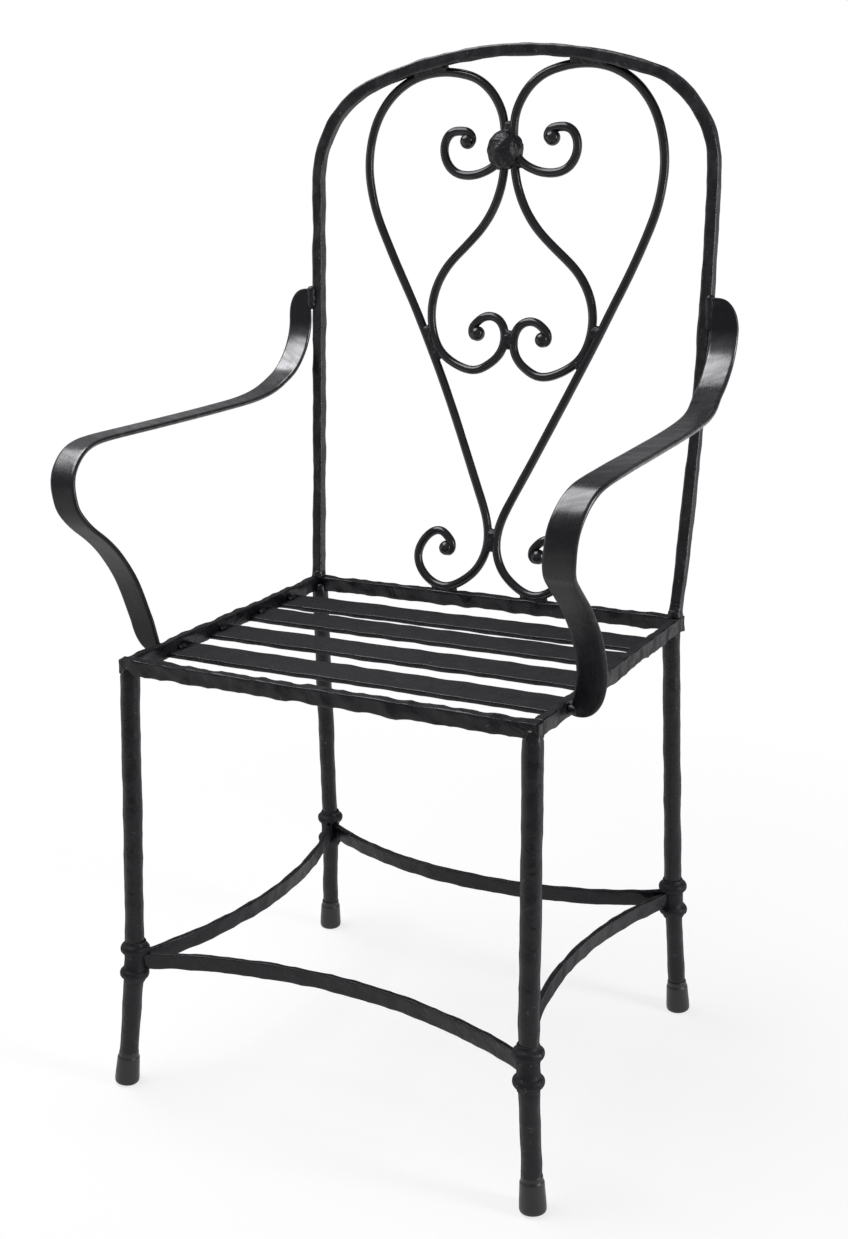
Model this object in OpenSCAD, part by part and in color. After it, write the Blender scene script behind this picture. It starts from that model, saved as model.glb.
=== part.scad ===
// Wrought iron armchair: hammered bar frame, bent strap arms and a heart of bent rods in the back.
// The chair faces -Y. The origin is on the floor, under the middle of the chair's box.

/* [Seat frame] */
// Width of the seat frame over its side rails
seat_w = 441; // [380:1:520]
// Depth of the seat frame over its front and back rails
seat_d = 347; // [310:1:420]
// Height of the seat frame's top above the floor
seat_h = 440; // [400:1:480]
// Height of the four rail bars
rail_h = 16; // [12:1:22]
// Thickness of the front and back rail bars
cross_rail_t = 12; // [9:0.5:16]
// Thickness of the side rail bars
side_rail_t = 10; // [8:0.5:14]

/* [Slats] */
// Width of each seat slat
slat_w = 41; // [30:1:46]
// Thickness of each seat slat
slat_t = 5; // [3:0.5:7]
// Middle of each slat, as a share of the clear depth from the front rail
slat_places = [0.217, 0.431, 0.644, 0.819];

/* [Legs] */
// Diameter of the leg bars
leg_d = 18; // [14:0.5:22]
// How far the front legs' heads sit inside the frame's corner
front_leg_inset = 7.3; // [6:0.1:12]
// How far the back legs' heads sit inside the frame's corner
back_leg_inset = 10.5; // [8:0.1:14]
// Height of the bend in the legs, at the middle of the collars
knee_h = 131; // [110:1:170]
// How far the front legs lean outwards from head to bend
front_knee_out = 4; // [0:0.5:12]
// How far the front legs lean forwards from head to bend
front_knee_forward = 28; // [10:1:40]
// How far the front feet stand outwards of the heads
front_foot_out = 14.5; // [6:0.5:24]
// How far the front feet stand forwards of the heads
front_foot_forward = 45; // [25:1:60]
// How far the back legs lean outwards from head to bend
back_knee_out = 5; // [0:0.5:12]
// How far the back legs lean backwards from head to bend
back_knee_back = 2; // [0:0.5:12]
// How far the back feet stand outwards of the heads
back_foot_out = 12.5; // [6:0.5:24]
// How far the back feet stand backwards of the heads
back_foot_back = 2; // [0:0.5:16]

/* [Collars] */
// Diameter of the two beads on each leg collar
bead_d = 30; // [26:0.5:36]
// Height of one bead
bead_h = 12; // [9:0.5:15]
// Distance between the middles of the two beads
bead_pitch = 26; // [22:0.5:32]
// Diameter of the collar's neck between its beads
collar_neck_d = 21.5; // [19:0.5:24]
// Height of the whole collar
collar_h = 46; // [42:1:56]

/* [Ferrules] */
// Diameter of the rubber ferrules at the floor
ferrule_d = 25; // [22:0.5:32]
// Diameter of the ferrules at their lip
ferrule_top_d = 21; // [20:0.5:24]
// Height of the ferrules
ferrule_h = 35; // [25:1:45]
// Rubber under the end of the leg
ferrule_floor_t = 5; // [3:0.5:8]

/* [Stretchers] */
// Height of the stretcher bars
stretcher_h = 17; // [12:1:22]
// Thickness of the stretcher bars
stretcher_t = 5.5; // [4:0.5:8]
// How far the front stretcher is bowed inwards
front_bow = 47; // [20:1:60]
// How far the back stretcher is bowed inwards
back_bow = 57; // [20:1:70]
// How far the left stretcher is bowed inwards
left_bow = 42; // [20:1:60]
// How far the right stretcher is bowed inwards
right_bow = 42; // [20:1:60]

/* [Back hoop] */
// Side of the square bar that makes the two posts and the hoop
hoop_bar = 12.5; // [10:0.5:16]
// Easing on the corners of the hammered bar
hoop_ease = 3; // [1:0.5:4]
// Height of the hoop's middle line above the seat frame
back_h = 552; // [480:1:640]
// How far the hoop's widest middle line stands outside the seat frame's sides
hoop_over = 4.5; // [0:0.5:14]
// Radius of the hoop's two shoulders
shoulder_r = 103; // [80:1:130]
// Radius of the hoop's crown
crown_r = 480; // [400:5:700]
// How far each post's foot stands inside the hoop's widest place
post_splay = 12; // [4:0.5:20]
// How far the posts' feet stand inside the back of the frame
post_inset = 7.3; // [6.5:0.1:12]
// How far the hoop's crown leans back behind the posts' feet
back_lean = 68; // [40:1:110]
// Hollow of the posts' curve behind a straight line
post_hollow = 9.5; // [0:0.5:20]

/* [Scrolls] */
// Diameter of the scroll rods
rod_d = 8.3; // [6:0.1:10]
// Diameter of the round knobs at the rods' ends
knob_d = 16; // [13:0.5:20]
// Width of each knob with the rod that rolls over it
knob_w = 21; // [16:0.5:24]
// Gap that weld fills between two rods at a tie
tie_gap = 2.8; // [0.6:0.1:4]
// How far the scrolls' top stands behind the hoop's middle
scroll_set_back = 7; // [2:0.5:9]
// How far the hand-made scrolls stand to the right of the hoop's middle
scroll_shift = 1.8; // [-4:0.1:4]
// How far each inner scroll sits off its true height, the right one down and the left one up
inner_offset = 2.5; // [-4:0.1:4]
// Extra hollow of the scrolls behind the posts' curve
scroll_hollow = 17; // [0:1:25]

/* [Arms] */
// Width of the arm straps
strap_w = 28.5; // [22:0.5:36]
// Thickness of the arm straps
strap_t = 5; // [3:0.5:7]
// Height of the straps' upper ends above the seat frame
arm_top = 317; // [270:1:360]
// How much lower the right strap's upper end sits than the left one's
right_arm_drop = 5.5; // [0:0.5:10]
// Height of the armrest's level stretch above the seat frame
arm_rest_h = 204; // [180:1:240]
// How far the front bend reaches forward of the strap's upper end
arm_reach = 398; // [340:1:440]
// How far the straps stand outwards at their widest, over their upper ends
arm_splay = 18.5; // [0:0.5:40]
// How far the strap's lower end hangs below the seat frame's top
arm_foot_drop = 15; // [8:0.5:16]
// How far the rounding of each strap end cuts into the outer edge
strap_end_w = 21; // [10:1:22]
// Length of the rounding at each strap end
strap_end_l = 29; // [15:1:36]

/* [Welds] */
// Diameter of the weld between two scroll rods
tie_weld_d = 6.5; // [4:0.5:8]
// Diameter of the weld along each strap end
arm_weld_d = 9; // [6:0.5:11]
// Length of the weld at the left strap's upper end
left_arm_weld_l = 16; // [12:1:30]
// Length of the weld at the right strap's upper end
right_arm_weld_l = 26; // [12:1:30]
// Radius of the weld at each slat end
slat_weld_r = 4; // [2:0.5:5]
// Height of the weld flare round each post's foot
post_weld_h = 7; // [4:0.5:10]

/* [Hidden] */

iron = [0.07, 0.07, 0.075];
strap_iron = [0.1, 0.1, 0.105];
weld_iron = [0.16, 0.16, 0.165];
black_rubber = [0.03, 0.03, 0.03];

LEFT = -1;
RIGHT = 1;
half_w = seat_w / 2;
half_d = seat_d / 2;
rail_bottom = seat_h - rail_h;
clear_half_w = half_w - side_rail_t;
clear_d = seat_d - 2 * cross_rail_t;
rod_r = rod_d / 2;
hoop_half_w = half_w + hoop_over;

// Curves

function unit(v) = v / norm(v);
function knot(a, b) = sqrt(norm(b - a));
function mix(a, b, t) = a + (b - a) * t;
function between(a, b, ta, tb, t) = mix(a, b, (t - ta) / (tb - ta));

// A point of the smooth curve from b to c, where a and d are the points before and after
function curve_point(a, b, c, d, share) =
    let (t1 = knot(a, b), t2 = t1 + knot(b, c), t3 = t2 + knot(c, d), t = mix(t1, t2, share),
        ab = between(a, b, 0, t1, t), bc = between(b, c, t1, t2, t), cd = between(c, d, t2, t3, t))
    between(between(ab, bc, 0, t2, t), between(bc, cd, t1, t3, t), t1, t2, t);

// A smooth curve through every point, with a number of steps from each to the next
function smooth_curve(points, steps) =
    let (last = len(points) - 1,
        run = concat([2 * points[0] - points[1]], points, [2 * points[last] - points[last - 1]]))
    [for (i = [0 : last - 1], k = [0 : steps - 1])
        curve_point(run[i], run[i + 1], run[i + 2], run[i + 3], k / steps), points[last]];

function tangent(path, i) =
    let (last = len(path) - 1,
        before = i > 0 ? unit(path[i] - path[i - 1]) : unit(path[1] - path[0]),
        after = i < last ? unit(path[i + 1] - path[i]) : unit(path[last] - path[last - 1]))
    unit(before + after);

// One ring of a bar's section, turned so that its second direction faces the way given
function ring(centre, along, section, face) =
    let (through = unit(face - (face * along) * along), across = cross(along, through))
    [for (p = section) centre + p[0] * across + p[1] * through];

function round_section(r, sides) =
    [for (i = [0 : sides - 1]) r * [cos(360 * i / sides), sin(360 * i / sides)]];

function eased_square(side, ease) =
    let (a = side / 2, b = side / 2 - ease)
    [[a, -b], [a, b], [b, a], [-b, a], [-a, b], [-a, -b], [-b, -a], [b, -a]];

// Slide a ring along the bar until it lies in the level plane at height z
function level_ring(points, along, z) = [for (p = points) p + along * (z - p[2]) / along[2]];

// A closed skin over rings of points
module skin(rings) {
    n = len(rings[0]);
    last = (len(rings) - 1) * n;
    sides = [for (i = [0 : len(rings) - 2], j = [0 : n - 1])
        let (a = i * n + j, b = i * n + (j + 1) % n)
        each [[a, b, a + n], [b, b + n, a + n]]];
    start_cap = [for (j = [1 : n - 2]) [0, j + 1, j]];
    end_cap = [for (j = [1 : n - 2]) [last, last + j, last + j + 1]];
    polyhedron(points = [for (r = rings) each r], faces = concat(sides, start_cap, end_cap),
        convexity = 8);
}

module bar_along(path, section, level_ends = false) {
    last = len(path) - 1;
    skin([for (i = [0 : last])
        let (along = tangent(path, i), points = ring(path[i], along, section, [0, -1, 0]))
        level_ends && (i == 0 || i == last) ? level_ring(points, along, path[i][2]) : points]);
}

// Turns what stands upright so that it points along v
module aim(v) rotate([0, acos(v[2] / norm(v)), atan2(v[1], v[0])]) children();

// Moves the seat's middle so that the origin is under the middle of the chair's box
foot_front = half_d - front_leg_inset + front_foot_forward + ferrule_d / 2;
top_back = half_d - post_inset + back_lean + scroll_set_back + rod_r;
module chair() translate([0, (foot_front - top_back) / 2, 0]) children();

module mirrored(side) mirror([side == LEFT ? 1 : 0, 0, 0]) children();

// Seat frame and slats

module cross_rail(y_sign) color(iron) chair()
    translate([-half_w, y_sign > 0 ? half_d - cross_rail_t : -half_d, rail_bottom])
        cube([seat_w, cross_rail_t, rail_h]);

module side_rail(side) color(iron) chair() mirrored(side)
    translate([clear_half_w, -clear_d / 2, rail_bottom]) cube([side_rail_t, clear_d, rail_h]);

function slat_y(i) = -clear_d / 2 + clear_d * slat_places[i];
slat_top = rail_bottom + slat_t;

module slat(i) color(iron) chair()
    translate([-clear_half_w, slat_y(i) - slat_w / 2, rail_bottom])
        cube([2 * clear_half_w, slat_w, slat_t]);

// A quarter-round bead of weld lies in each corner between a slat and a side rail
slat_weld_share = 0.5;
module slat_welds() color(weld_iron) chair()
    for (i = [0 : len(slat_places) - 1], side = [LEFT, RIGHT]) mirrored(side)
        translate([clear_half_w, slat_y(i) - slat_w * slat_weld_share / 2, slat_top])
            rotate([-90, 0, 0]) intersection() {
                cylinder(r = slat_weld_r, h = slat_w * slat_weld_share, $fn = 48);
                translate([-slat_weld_r, -slat_weld_r, 0])
                    cube([slat_weld_r, slat_weld_r, slat_w * slat_weld_share]);
            }

// Legs, collars, ferrules and stretchers

function leg_head(side, back) =
    let (inset = back ? back_leg_inset : front_leg_inset)
    [side * (half_w - inset), (back ? 1 : -1) * (half_d - inset), seat_h];
function leg_knee(side, back) =
    let (head = leg_head(side, back))
    [head[0] + side * (back ? back_knee_out : front_knee_out),
        head[1] + (back ? back_knee_back : -front_knee_forward), knee_h];
function leg_foot(side, back) =
    let (head = leg_head(side, back))
    [head[0] + side * (back ? back_foot_out : front_foot_out),
        head[1] + (back ? back_foot_back : -front_foot_forward), 0];

// Places what follows at a leg's bend, along the mean direction of its two stretches
module at_knee(side, back) {
    head = leg_head(side, back);
    knee = leg_knee(side, back);
    foot = leg_foot(side, back);
    translate(knee) aim(unit(head - knee) + unit(knee - foot)) children();
}

// The bent bar, cut level under the rail and in its ferrule
leg_sides = 44;
function at_height(a, b, z) = mix(a, b, (z - a[2]) / (b[2] - a[2]));
module leg_bar(side, back) {
    head = leg_head(side, back);
    knee = leg_knee(side, back);
    foot = leg_foot(side, back);
    bar_along([at_height(head, knee, rail_bottom), knee, at_height(knee, foot, ferrule_floor_t)],
        round_section(leg_d / 2, leg_sides), level_ends = true);
}

module leg(side, back) color(iron) chair() leg_bar(side, back);

bead_flare = 2;
collar_end_wall = 1.6;
module collar_body() rotate_extrude($fn = 96) {
    polygon([[0, -collar_h / 2], [leg_d / 2 + collar_end_wall, -collar_h / 2],
        [bead_d / 2 - bead_flare, -bead_pitch / 2 - bead_h / 3],
        [bead_d / 2 - bead_flare, -bead_pitch / 2 + bead_h / 3],
        [collar_neck_d / 2, -bead_flare], [collar_neck_d / 2, bead_flare],
        [bead_d / 2 - bead_flare, bead_pitch / 2 - bead_h / 3],
        [bead_d / 2 - bead_flare, bead_pitch / 2 + bead_h / 3],
        [leg_d / 2 + collar_end_wall, collar_h / 2], [0, collar_h / 2]]);
    for (s = [-1, 1])
        translate([bead_d / 2 - bead_h / 2, s * bead_pitch / 2]) circle(d = bead_h, $fn = 48);
}

module collar(side, back) color(iron) chair() difference() {
    at_knee(side, back) collar_body();
    leg_bar(side, back);
}

// The flared ferrule has a thicker lip, and is cut level at the floor
ferrule_lip_h = 4;
ferrule_lip_out = 0.6;
ferrule_lip_ease = 1;
ferrule_flare = (ferrule_d - ferrule_top_d) / 2 / (ferrule_h - ferrule_lip_h);
module ferrule(side, back) color(black_rubber) chair() {
    foot = leg_foot(side, back);
    top_r = ferrule_top_d / 2;
    low_r = ferrule_d / 2 + ferrule_flare * ferrule_floor_t;
    lip_r = top_r + ferrule_lip_out;
    lip_bottom = ferrule_h - ferrule_lip_h;
    difference() {
        intersection() {
            translate(foot) aim(leg_knee(side, back) - foot) rotate_extrude($fn = 96)
                polygon([[0, -ferrule_floor_t], [low_r, -ferrule_floor_t], [top_r, lip_bottom],
                    [lip_r, lip_bottom], [lip_r, ferrule_h - ferrule_lip_ease], [top_r, ferrule_h],
                    [0, ferrule_h]]);
            translate([foot[0], foot[1], ferrule_h]) cube(2 * ferrule_h, center = true);
        }
        leg_bar(side, back);
    }
}

// A flat bar on edge, bowed inwards in an arc between the collars of two legs
module stretcher(leg_a, leg_b, bow) {
    a = leg_knee(leg_a[0], leg_a[1]);
    b = leg_knee(leg_b[0], leg_b[1]);
    span = norm(b - a);
    r = (span * span / 4 + bow * bow) / (2 * bow);
    half_angle = asin(span / 2 / r);
    middle = (a + b) / 2;
    inward = atan2(b[1] - a[1], b[0] - a[0]) + 90;
    difference() {
        translate(middle) rotate([0, 0, inward]) translate([bow - r, 0, -stretcher_h / 2])
            rotate([0, 0, -half_angle]) rotate_extrude(angle = 2 * half_angle, $fn = 720)
                translate([r - stretcher_t / 2, 0]) square([stretcher_t, stretcher_h]);
        for (l = [leg_a, leg_b]) at_knee(l[0], l[1]) collar_body();
    }
}

FRONT_LEFT = [LEFT, false];
FRONT_RIGHT = [RIGHT, false];
BACK_LEFT = [LEFT, true];
BACK_RIGHT = [RIGHT, true];
module stretcher_front() color(iron) chair() stretcher(FRONT_LEFT, FRONT_RIGHT, front_bow);
module stretcher_right() color(iron) chair() stretcher(FRONT_RIGHT, BACK_RIGHT, right_bow);
module stretcher_back() color(iron) chair() stretcher(BACK_RIGHT, BACK_LEFT, back_bow);
module stretcher_left() color(iron) chair() stretcher(BACK_LEFT, FRONT_LEFT, left_bow);

// The back: posts and hoop in one bar, in a surface that leans and is slightly hollow

function back_y(h) =
    let (t = h / back_h)
    half_d - post_inset + back_lean * t + 4 * post_hollow * t * (1 - t);
function on_back(x, h) = [x, back_y(h), seat_h + h];

// The hoop is a three-centred arch: two shoulders joined to a flatter crown
crown_centre = back_h - crown_r;
spring_h = crown_centre + sqrt(pow(crown_r - shoulder_r, 2) - pow(hoop_half_w - shoulder_r, 2));
shoulder_x = hoop_half_w - shoulder_r;
shoulder_turn = atan2(spring_h - crown_centre, shoulder_x);
function post_x(h) = hoop_half_w - post_splay * pow(1 - h / spring_h, 2);

post_steps = 12;
shoulder_steps = 9;
crown_steps = 8;
half_hoop = concat(
    [for (i = [0 : post_steps - 1]) let (h = spring_h * i / post_steps) [post_x(h), h]],
    [for (i = [0 : shoulder_steps - 1]) let (a = shoulder_turn * i / shoulder_steps)
        [shoulder_x + shoulder_r * cos(a), spring_h + shoulder_r * sin(a)]],
    [for (i = [0 : crown_steps - 1]) let (a = mix(shoulder_turn, 90, i / crown_steps))
        [crown_r * cos(a), crown_centre + crown_r * sin(a)]]);
hoop_path = concat(
    [for (p = half_hoop) on_back(p[0], p[1])], [on_back(0, back_h)],
    [for (i = [len(half_hoop) - 1 : -1 : 0]) on_back(-half_hoop[i][0], half_hoop[i][1])]);

module back_hoop() color(iron) chair()
    bar_along(hoop_path, eased_square(hoop_bar, hoop_ease), level_ends = true);

post_weld_flare = 1.5;
post_weld_ease = 0.25;
module post_welds() color(weld_iron) chair() for (side = [LEFT, RIGHT])
    translate([side * post_x(0), back_y(0), seat_h])
        cylinder(h = post_weld_h, r1 = hoop_bar / 2 + post_weld_flare,
            r2 = hoop_bar / 2 - post_weld_ease, $fn = 48);

// The scrolls: shares of the hoop's width and of the height between the rail and the crown

scroll_top_share = 0.328;
scroll_foot_share = 0.22;
tie_x = (rod_d + tie_gap) / 2;
scroll_half_w = hoop_half_w - tie_x;
scroll_top_x = tie_x + scroll_top_share * scroll_half_w;
scroll_top_h = crown_centre + sqrt(pow(crown_r, 2) - pow(scroll_top_x, 2)) - hoop_bar / 2 - rod_r;
scroll_h = scroll_top_h - rod_r;

function scroll_y(h) =
    let (t = h / scroll_top_h)
    back_y(h) + scroll_set_back * t + scroll_hollow * (1 - cos(360 * t)) / 2;
function on_scroll(p) =
    let (h = rod_r + p[1] * scroll_h)
    [tie_x + p[0] * scroll_half_w, scroll_y(h), seat_h + h];

// From the curl above the back rail, up through both ties, over the top and into the upper curl
outer_points = [[0.207, 0.0945], [0.222, 0.1035], [0.247, 0.109], [0.283, 0.1095], [0.33, 0.0985],
    [0.365, 0.078], [0.377, 0.055], [0.352, 0.03], [0.301, 0.011], [0.22, 0], [0.135, 0.011],
    [0.072, 0.03], [0.035, 0.048], [0.012, 0.067], [0, 0.086], [0, 0.105], [0.005, 0.123],
    [0.017, 0.142], [0.058, 0.18], [0.102, 0.217], [0.147, 0.255], [0.235, 0.33], [0.322, 0.403],
    [0.412, 0.477], [0.502, 0.552], [0.595, 0.627], [0.677, 0.701], [0.711, 0.739], [0.732, 0.777],
    [0.742, 0.822], [0.728, 0.868], [0.704, 0.9], [0.665, 0.93], [0.602, 0.96], [0.487, 0.989],
    [0.328, 1], [0.167, 0.988], [0.104, 0.973], [0.065, 0.958], [0.038, 0.942], [0.018, 0.926],
    [0.006, 0.911], [0, 0.895], [0, 0.854], [0.017, 0.836], [0.062, 0.82], [0.12, 0.809],
    [0.183, 0.805], [0.272, 0.813], [0.313, 0.837], [0.32, 0.855], [0.315, 0.869], [0.298, 0.88],
    [0.268, 0.888], [0.238, 0.8905], [0.212, 0.888]];

// From under the top tie, out and round to the side weld, through the middle tie and into its curl
inner_points = [[0, 0.824], [0.004, 0.807], [0.022, 0.777], [0.058, 0.74], [0.122, 0.702],
    [0.217, 0.664], [0.313, 0.627], [0.372, 0.59], [0.4, 0.552], [0.402, 0.517], [0.377, 0.479],
    [0.34, 0.456], [0.279, 0.438], [0.176, 0.423], [0.115, 0.427], [0.067, 0.439], [0.018, 0.458],
    [0, 0.476], [0, 0.496], [0.013, 0.515], [0.048, 0.526], [0.092, 0.528], [0.132, 0.525],
    [0.158, 0.514]];

rod_sides = 10;
outer_steps = 2;
inner_steps = 3;

// A knob's outline: how far each ring lies from the knob's middle, as a share of its radius
knob_start_share = 0.8;
knob_place_shares = [-0.7, -0.45, -0.15, 0.15, 0.42, 0.66, 0.85, 0.97];
knob_crest_share = 0.45;
knob_deep_share = 0.6;
function knob_inner(t) = sqrt(1 - t * t);
function knob_outer(t) =
    let (wide = 2 * knob_w / knob_d - 1, u = (t + knob_crest_share) / (1 + knob_crest_share))
    t < -knob_crest_share ? wide : wide * sqrt(1 - u * u);
function knob_section(t, out) =
    let (r = knob_d / 2, w = knob_inner(t) * r, e = knob_outer(t) * r, deep = max(w, e * knob_deep_share))
    [for (i = [0 : rod_sides - 1])
        [out * (e - w) / 2 + (e + w) / 2 * cos(360 * i / rod_sides), deep * sin(360 * i / rod_sides)]];

// Rings of the knob ahead of a rod's end (way 1) or behind its start (way -1)
function knob_rings(end, along, way, out) =
    let (r = knob_d / 2, across = cross(along, unit([0, -1, 0] + along[1] * along)),
        middle = end + way * along * knob_start_share * r - out * across * (knob_w - r - rod_r),
        shares = knob_place_shares,
        places = way > 0 ? shares : [for (i = [len(shares) - 1 : -1 : 0]) shares[i]])
    [for (t = places) ring(middle + way * along * t * r, along, knob_section(t, out), [0, -1, 0])];

module scroll(points, steps, start_knob, end_knob) {
    path = [for (p = smooth_curve(points, steps)) on_scroll(p)];
    last = len(path) - 1;
    rod = [for (i = [0 : last])
        ring(path[i], tangent(path, i), round_section(rod_r, rod_sides), [0, -1, 0])];
    skin(concat(
        start_knob == 0 ? [] : knob_rings(path[0], tangent(path, 0), -1, start_knob),
        rod,
        knob_rings(path[last], tangent(path, last), 1, end_knob)));
}

module outer_scroll(side) color(iron) chair() translate([scroll_shift, 0, 0]) mirrored(side)
    scroll(outer_points, outer_steps, -1, 1);
module inner_scroll(side) color(iron) chair() translate([scroll_shift, 0, -side * inner_offset])
    mirrored(side) scroll(inner_points, inner_steps, 0, -1);

// Welds run up the middle between the mirrored rods, beside them, and at the hoop and the rail
function weld_place(x, share) = let (p = on_scroll([0, share])) [x, p[1], p[2]];
module weld_run(a, b, d) {
    half = norm(b - a) / 2;
    round_end = [for (turn = [0 : 30 : 90]) d / 2 * [cos(turn), sin(turn)] + [0, half]];
    translate((a + b) / 2) aim(b - a) rotate_extrude($fn = 48)
        polygon(concat([for (i = [len(round_end) - 1 : -1 : 0]) [round_end[i][0], -round_end[i][1]]],
            round_end));
}
top_tie_shares = [0.862, 0.897];
middle_tie_shares = [0.477, 0.497];
lower_tie_shares = [0.09, 0.117];
side_tie_shares = [[0.392, 0.462], [0.443, 0.506]];
crotch_tie_shares = [0.828, 0.84];
crotch_weld_d = 12;
module scroll_welds() color(weld_iron) chair() translate([scroll_shift, 0, 0]) {
    for (t = [top_tie_shares, middle_tie_shares, lower_tie_shares])
        weld_run(weld_place(0, t[0]), weld_place(0, t[1]), tie_weld_d);
    weld_run(weld_place(0, crotch_tie_shares[0]), weld_place(0, crotch_tie_shares[1]), crotch_weld_d);
    for (side = [LEFT, RIGHT]) mirrored(side) {
        weld_run(on_scroll(side_tie_shares[0]), on_scroll(side_tie_shares[1]), tie_weld_d);
        translate(on_scroll([scroll_top_share, 1]) + [0, -scroll_set_back / 2, rod_r])
            rotate([0, 90, 0]) cylinder(h = 2 * rod_d, d = tie_weld_d, center = true, $fn = 48);
        translate(on_scroll([scroll_foot_share, 0]) - [0, 0, rod_r])
            rotate([0, 90, 0]) cylinder(h = 2 * rod_d, d = tie_weld_d, center = true, $fn = 48);
    }
}

// Arms: a strap bent in profile and splayed outwards in front

strap_gap = 0.3;
strap_top_y = back_y(arm_top) - hoop_bar / 2 - strap_t / 2;
strap_top_x = post_x(arm_top) + hoop_bar / 2 + strap_gap + strap_w / 2;
strap_foot_x = half_w + strap_gap + strap_w / 2;
arm_foot = [0.79, -arm_foot_drop / arm_rest_h, (strap_foot_x - strap_top_x) / arm_splay];

// Shares of the reach forward, of the armrest's height and of the splay
// A height over 1 goes on up from the armrest, and 2 is the strap's upper end
arm_points = [[0, 2, 0], [0.001, 1.82, 0], [0.003, 1.67, 0], [0.015, 1.54, 0], [0.04, 1.4, 0],
    [0.085, 1.25, 0], [0.13, 1.165, 0.05], [0.175, 1.095, 0.18], [0.222, 1.055, 0.28],
    [0.28, 1.032, 0.36], [0.37, 1.018, 0.5], [0.47, 1.008, 0.62], [0.57, 1.002, 0.72],
    [0.67, 0.998, 0.83], [0.76, 0.996, 0.92], [0.83, 0.993, 1], [0.88, 0.986, 0.97],
    [0.925, 0.966, 0.82], [0.96, 0.928, 0.68], [0.985, 0.878, 0.56], [0.997, 0.828, 0.44],
    [1, 0.775, 0.34], [0.997, 0.718, 0.24], [0.984, 0.665, 0.08], [0.965, 0.618, -0.05],
    [0.937, 0.57, -0.13], [0.91, 0.52, -0.15], [0.881, 0.458, -0.12], [0.838, 0.336, -0.08],
    [0.815, 0.235, -0.08], [0.8, 0.142, -0.12], [0.793, 0.07, -0.25], arm_foot];
function top_of_arm(side) = side == RIGHT ? arm_top - right_arm_drop : arm_top;
function on_arm(p, top) =
    let (up = min(p[1], 1) * arm_rest_h + max(p[1] - 1, 0) * (top - arm_rest_h))
    [strap_top_x + p[2] * arm_splay, strap_top_y - p[0] * arm_reach, seat_h + up];
arm_steps = 3;

// Length of the path up to each of its points
function run_lengths(path, i = 0, run = 0, out = []) =
    i == len(path) ? out
    : run_lengths(path, i + 1, i + 1 < len(path) ? run + norm(path[i + 1] - path[i]) : run,
        concat(out, [run]));

// How much of the strap's outer side is cut away at a distance from its end
function end_cut(from_end) =
    from_end >= strap_end_l ? 0
    : strap_end_w * (1 - sqrt(1 - pow(1 - from_end / strap_end_l, 2)));

strap_ease = 1.5;
function strap_section(cut) =
    let (a = strap_t / 2, b = a - strap_ease, inner = -strap_w / 2, outer = strap_w / 2 - cut)
    [[a, inner + strap_ease], [a, outer - strap_ease], [b, outer], [-b, outer],
        [-a, outer - strap_ease], [-a, inner + strap_ease], [-b, inner], [b, inner]];

// The strap, with extra rings at these shares of its rounded ends
end_shares = [0, 0.04, 0.12, 0.25, 0.45, 0.7, 1];
strap_end_gap = 1;
module strap(top) {
    path = smooth_curve([for (p = arm_points) on_arm(p, top)], arm_steps);
    runs = run_lengths(path);
    clear = strap_end_l + strap_end_gap;
    clear_to = runs[len(runs) - 1] - clear;
    middle = [for (i = [1 : len(path) - 2])
        if (runs[i] > clear && runs[i] < clear_to)
        [path[i], tangent(path, i), 0]];
    first = path[0];
    first_way = unit(middle[0][0] - first);
    last = path[len(path) - 1];
    last_way = unit(middle[len(middle) - 1][0] - last);
    top_end = [for (s = end_shares)
        [first + first_way * s * strap_end_l, first_way, end_cut(s * strap_end_l)]];
    low_end = [for (i = [len(end_shares) - 1 : -1 : 0])
        let (s = end_shares[i])
        [last + last_way * s * strap_end_l, -last_way, end_cut(s * strap_end_l)]];
    skin([for (r = concat(top_end, middle, low_end)) ring(r[0], r[1], strap_section(r[2]), [1, 0, 0])]);
}

module arm(side) color(strap_iron) chair() mirrored(side) strap(top_of_arm(side));

// One weld joins each strap's upper end to its post, one its lower end to the side rail
arm_weld_drop = 2;
arm_weld_set = 1;
module arm_welds() color(weld_iron) chair() for (side = [LEFT, RIGHT]) mirrored(side) {
    end = on_arm(arm_points[0], top_of_arm(side));
    start = end + [-strap_w / 2 - arm_weld_set, arm_weld_set, -arm_weld_drop];
    weld_l = side == RIGHT ? right_arm_weld_l : left_arm_weld_l;
    weld_run(start - [0, 0, weld_l], start, arm_weld_d);
    translate([half_w, strap_top_y - arm_foot[0] * arm_reach, rail_bottom + rail_h / 2])
        rotate([0, 90, 0]) cylinder(h = strap_w / 2, d = arm_weld_d, center = true, $fn = 48);
}

// Parts

cross_rail(-1);  // front_rail
cross_rail(1);  // back_rail
side_rail(LEFT);  // left_rail
side_rail(RIGHT);  // right_rail
slat(0);  // slat_1
slat(1);  // slat_2
slat(2);  // slat_3
slat(3);  // slat_4
slat_welds();
leg(LEFT, false);  // leg_front_left
leg(RIGHT, false);  // leg_front_right
leg(LEFT, true);  // leg_back_left
leg(RIGHT, true);  // leg_back_right
collar(LEFT, false);  // collar_front_left
collar(RIGHT, false);  // collar_front_right
collar(LEFT, true);  // collar_back_left
collar(RIGHT, true);  // collar_back_right
ferrule(LEFT, false);  // ferrule_front_left
ferrule(RIGHT, false);  // ferrule_front_right
ferrule(LEFT, true);  // ferrule_back_left
ferrule(RIGHT, true);  // ferrule_back_right
stretcher_front();
stretcher_back();
stretcher_left();
stretcher_right();
back_hoop();
post_welds();
outer_scroll(LEFT);  // outer_scroll_left
outer_scroll(RIGHT);  // outer_scroll_right
inner_scroll(LEFT);  // inner_scroll_left
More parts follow.
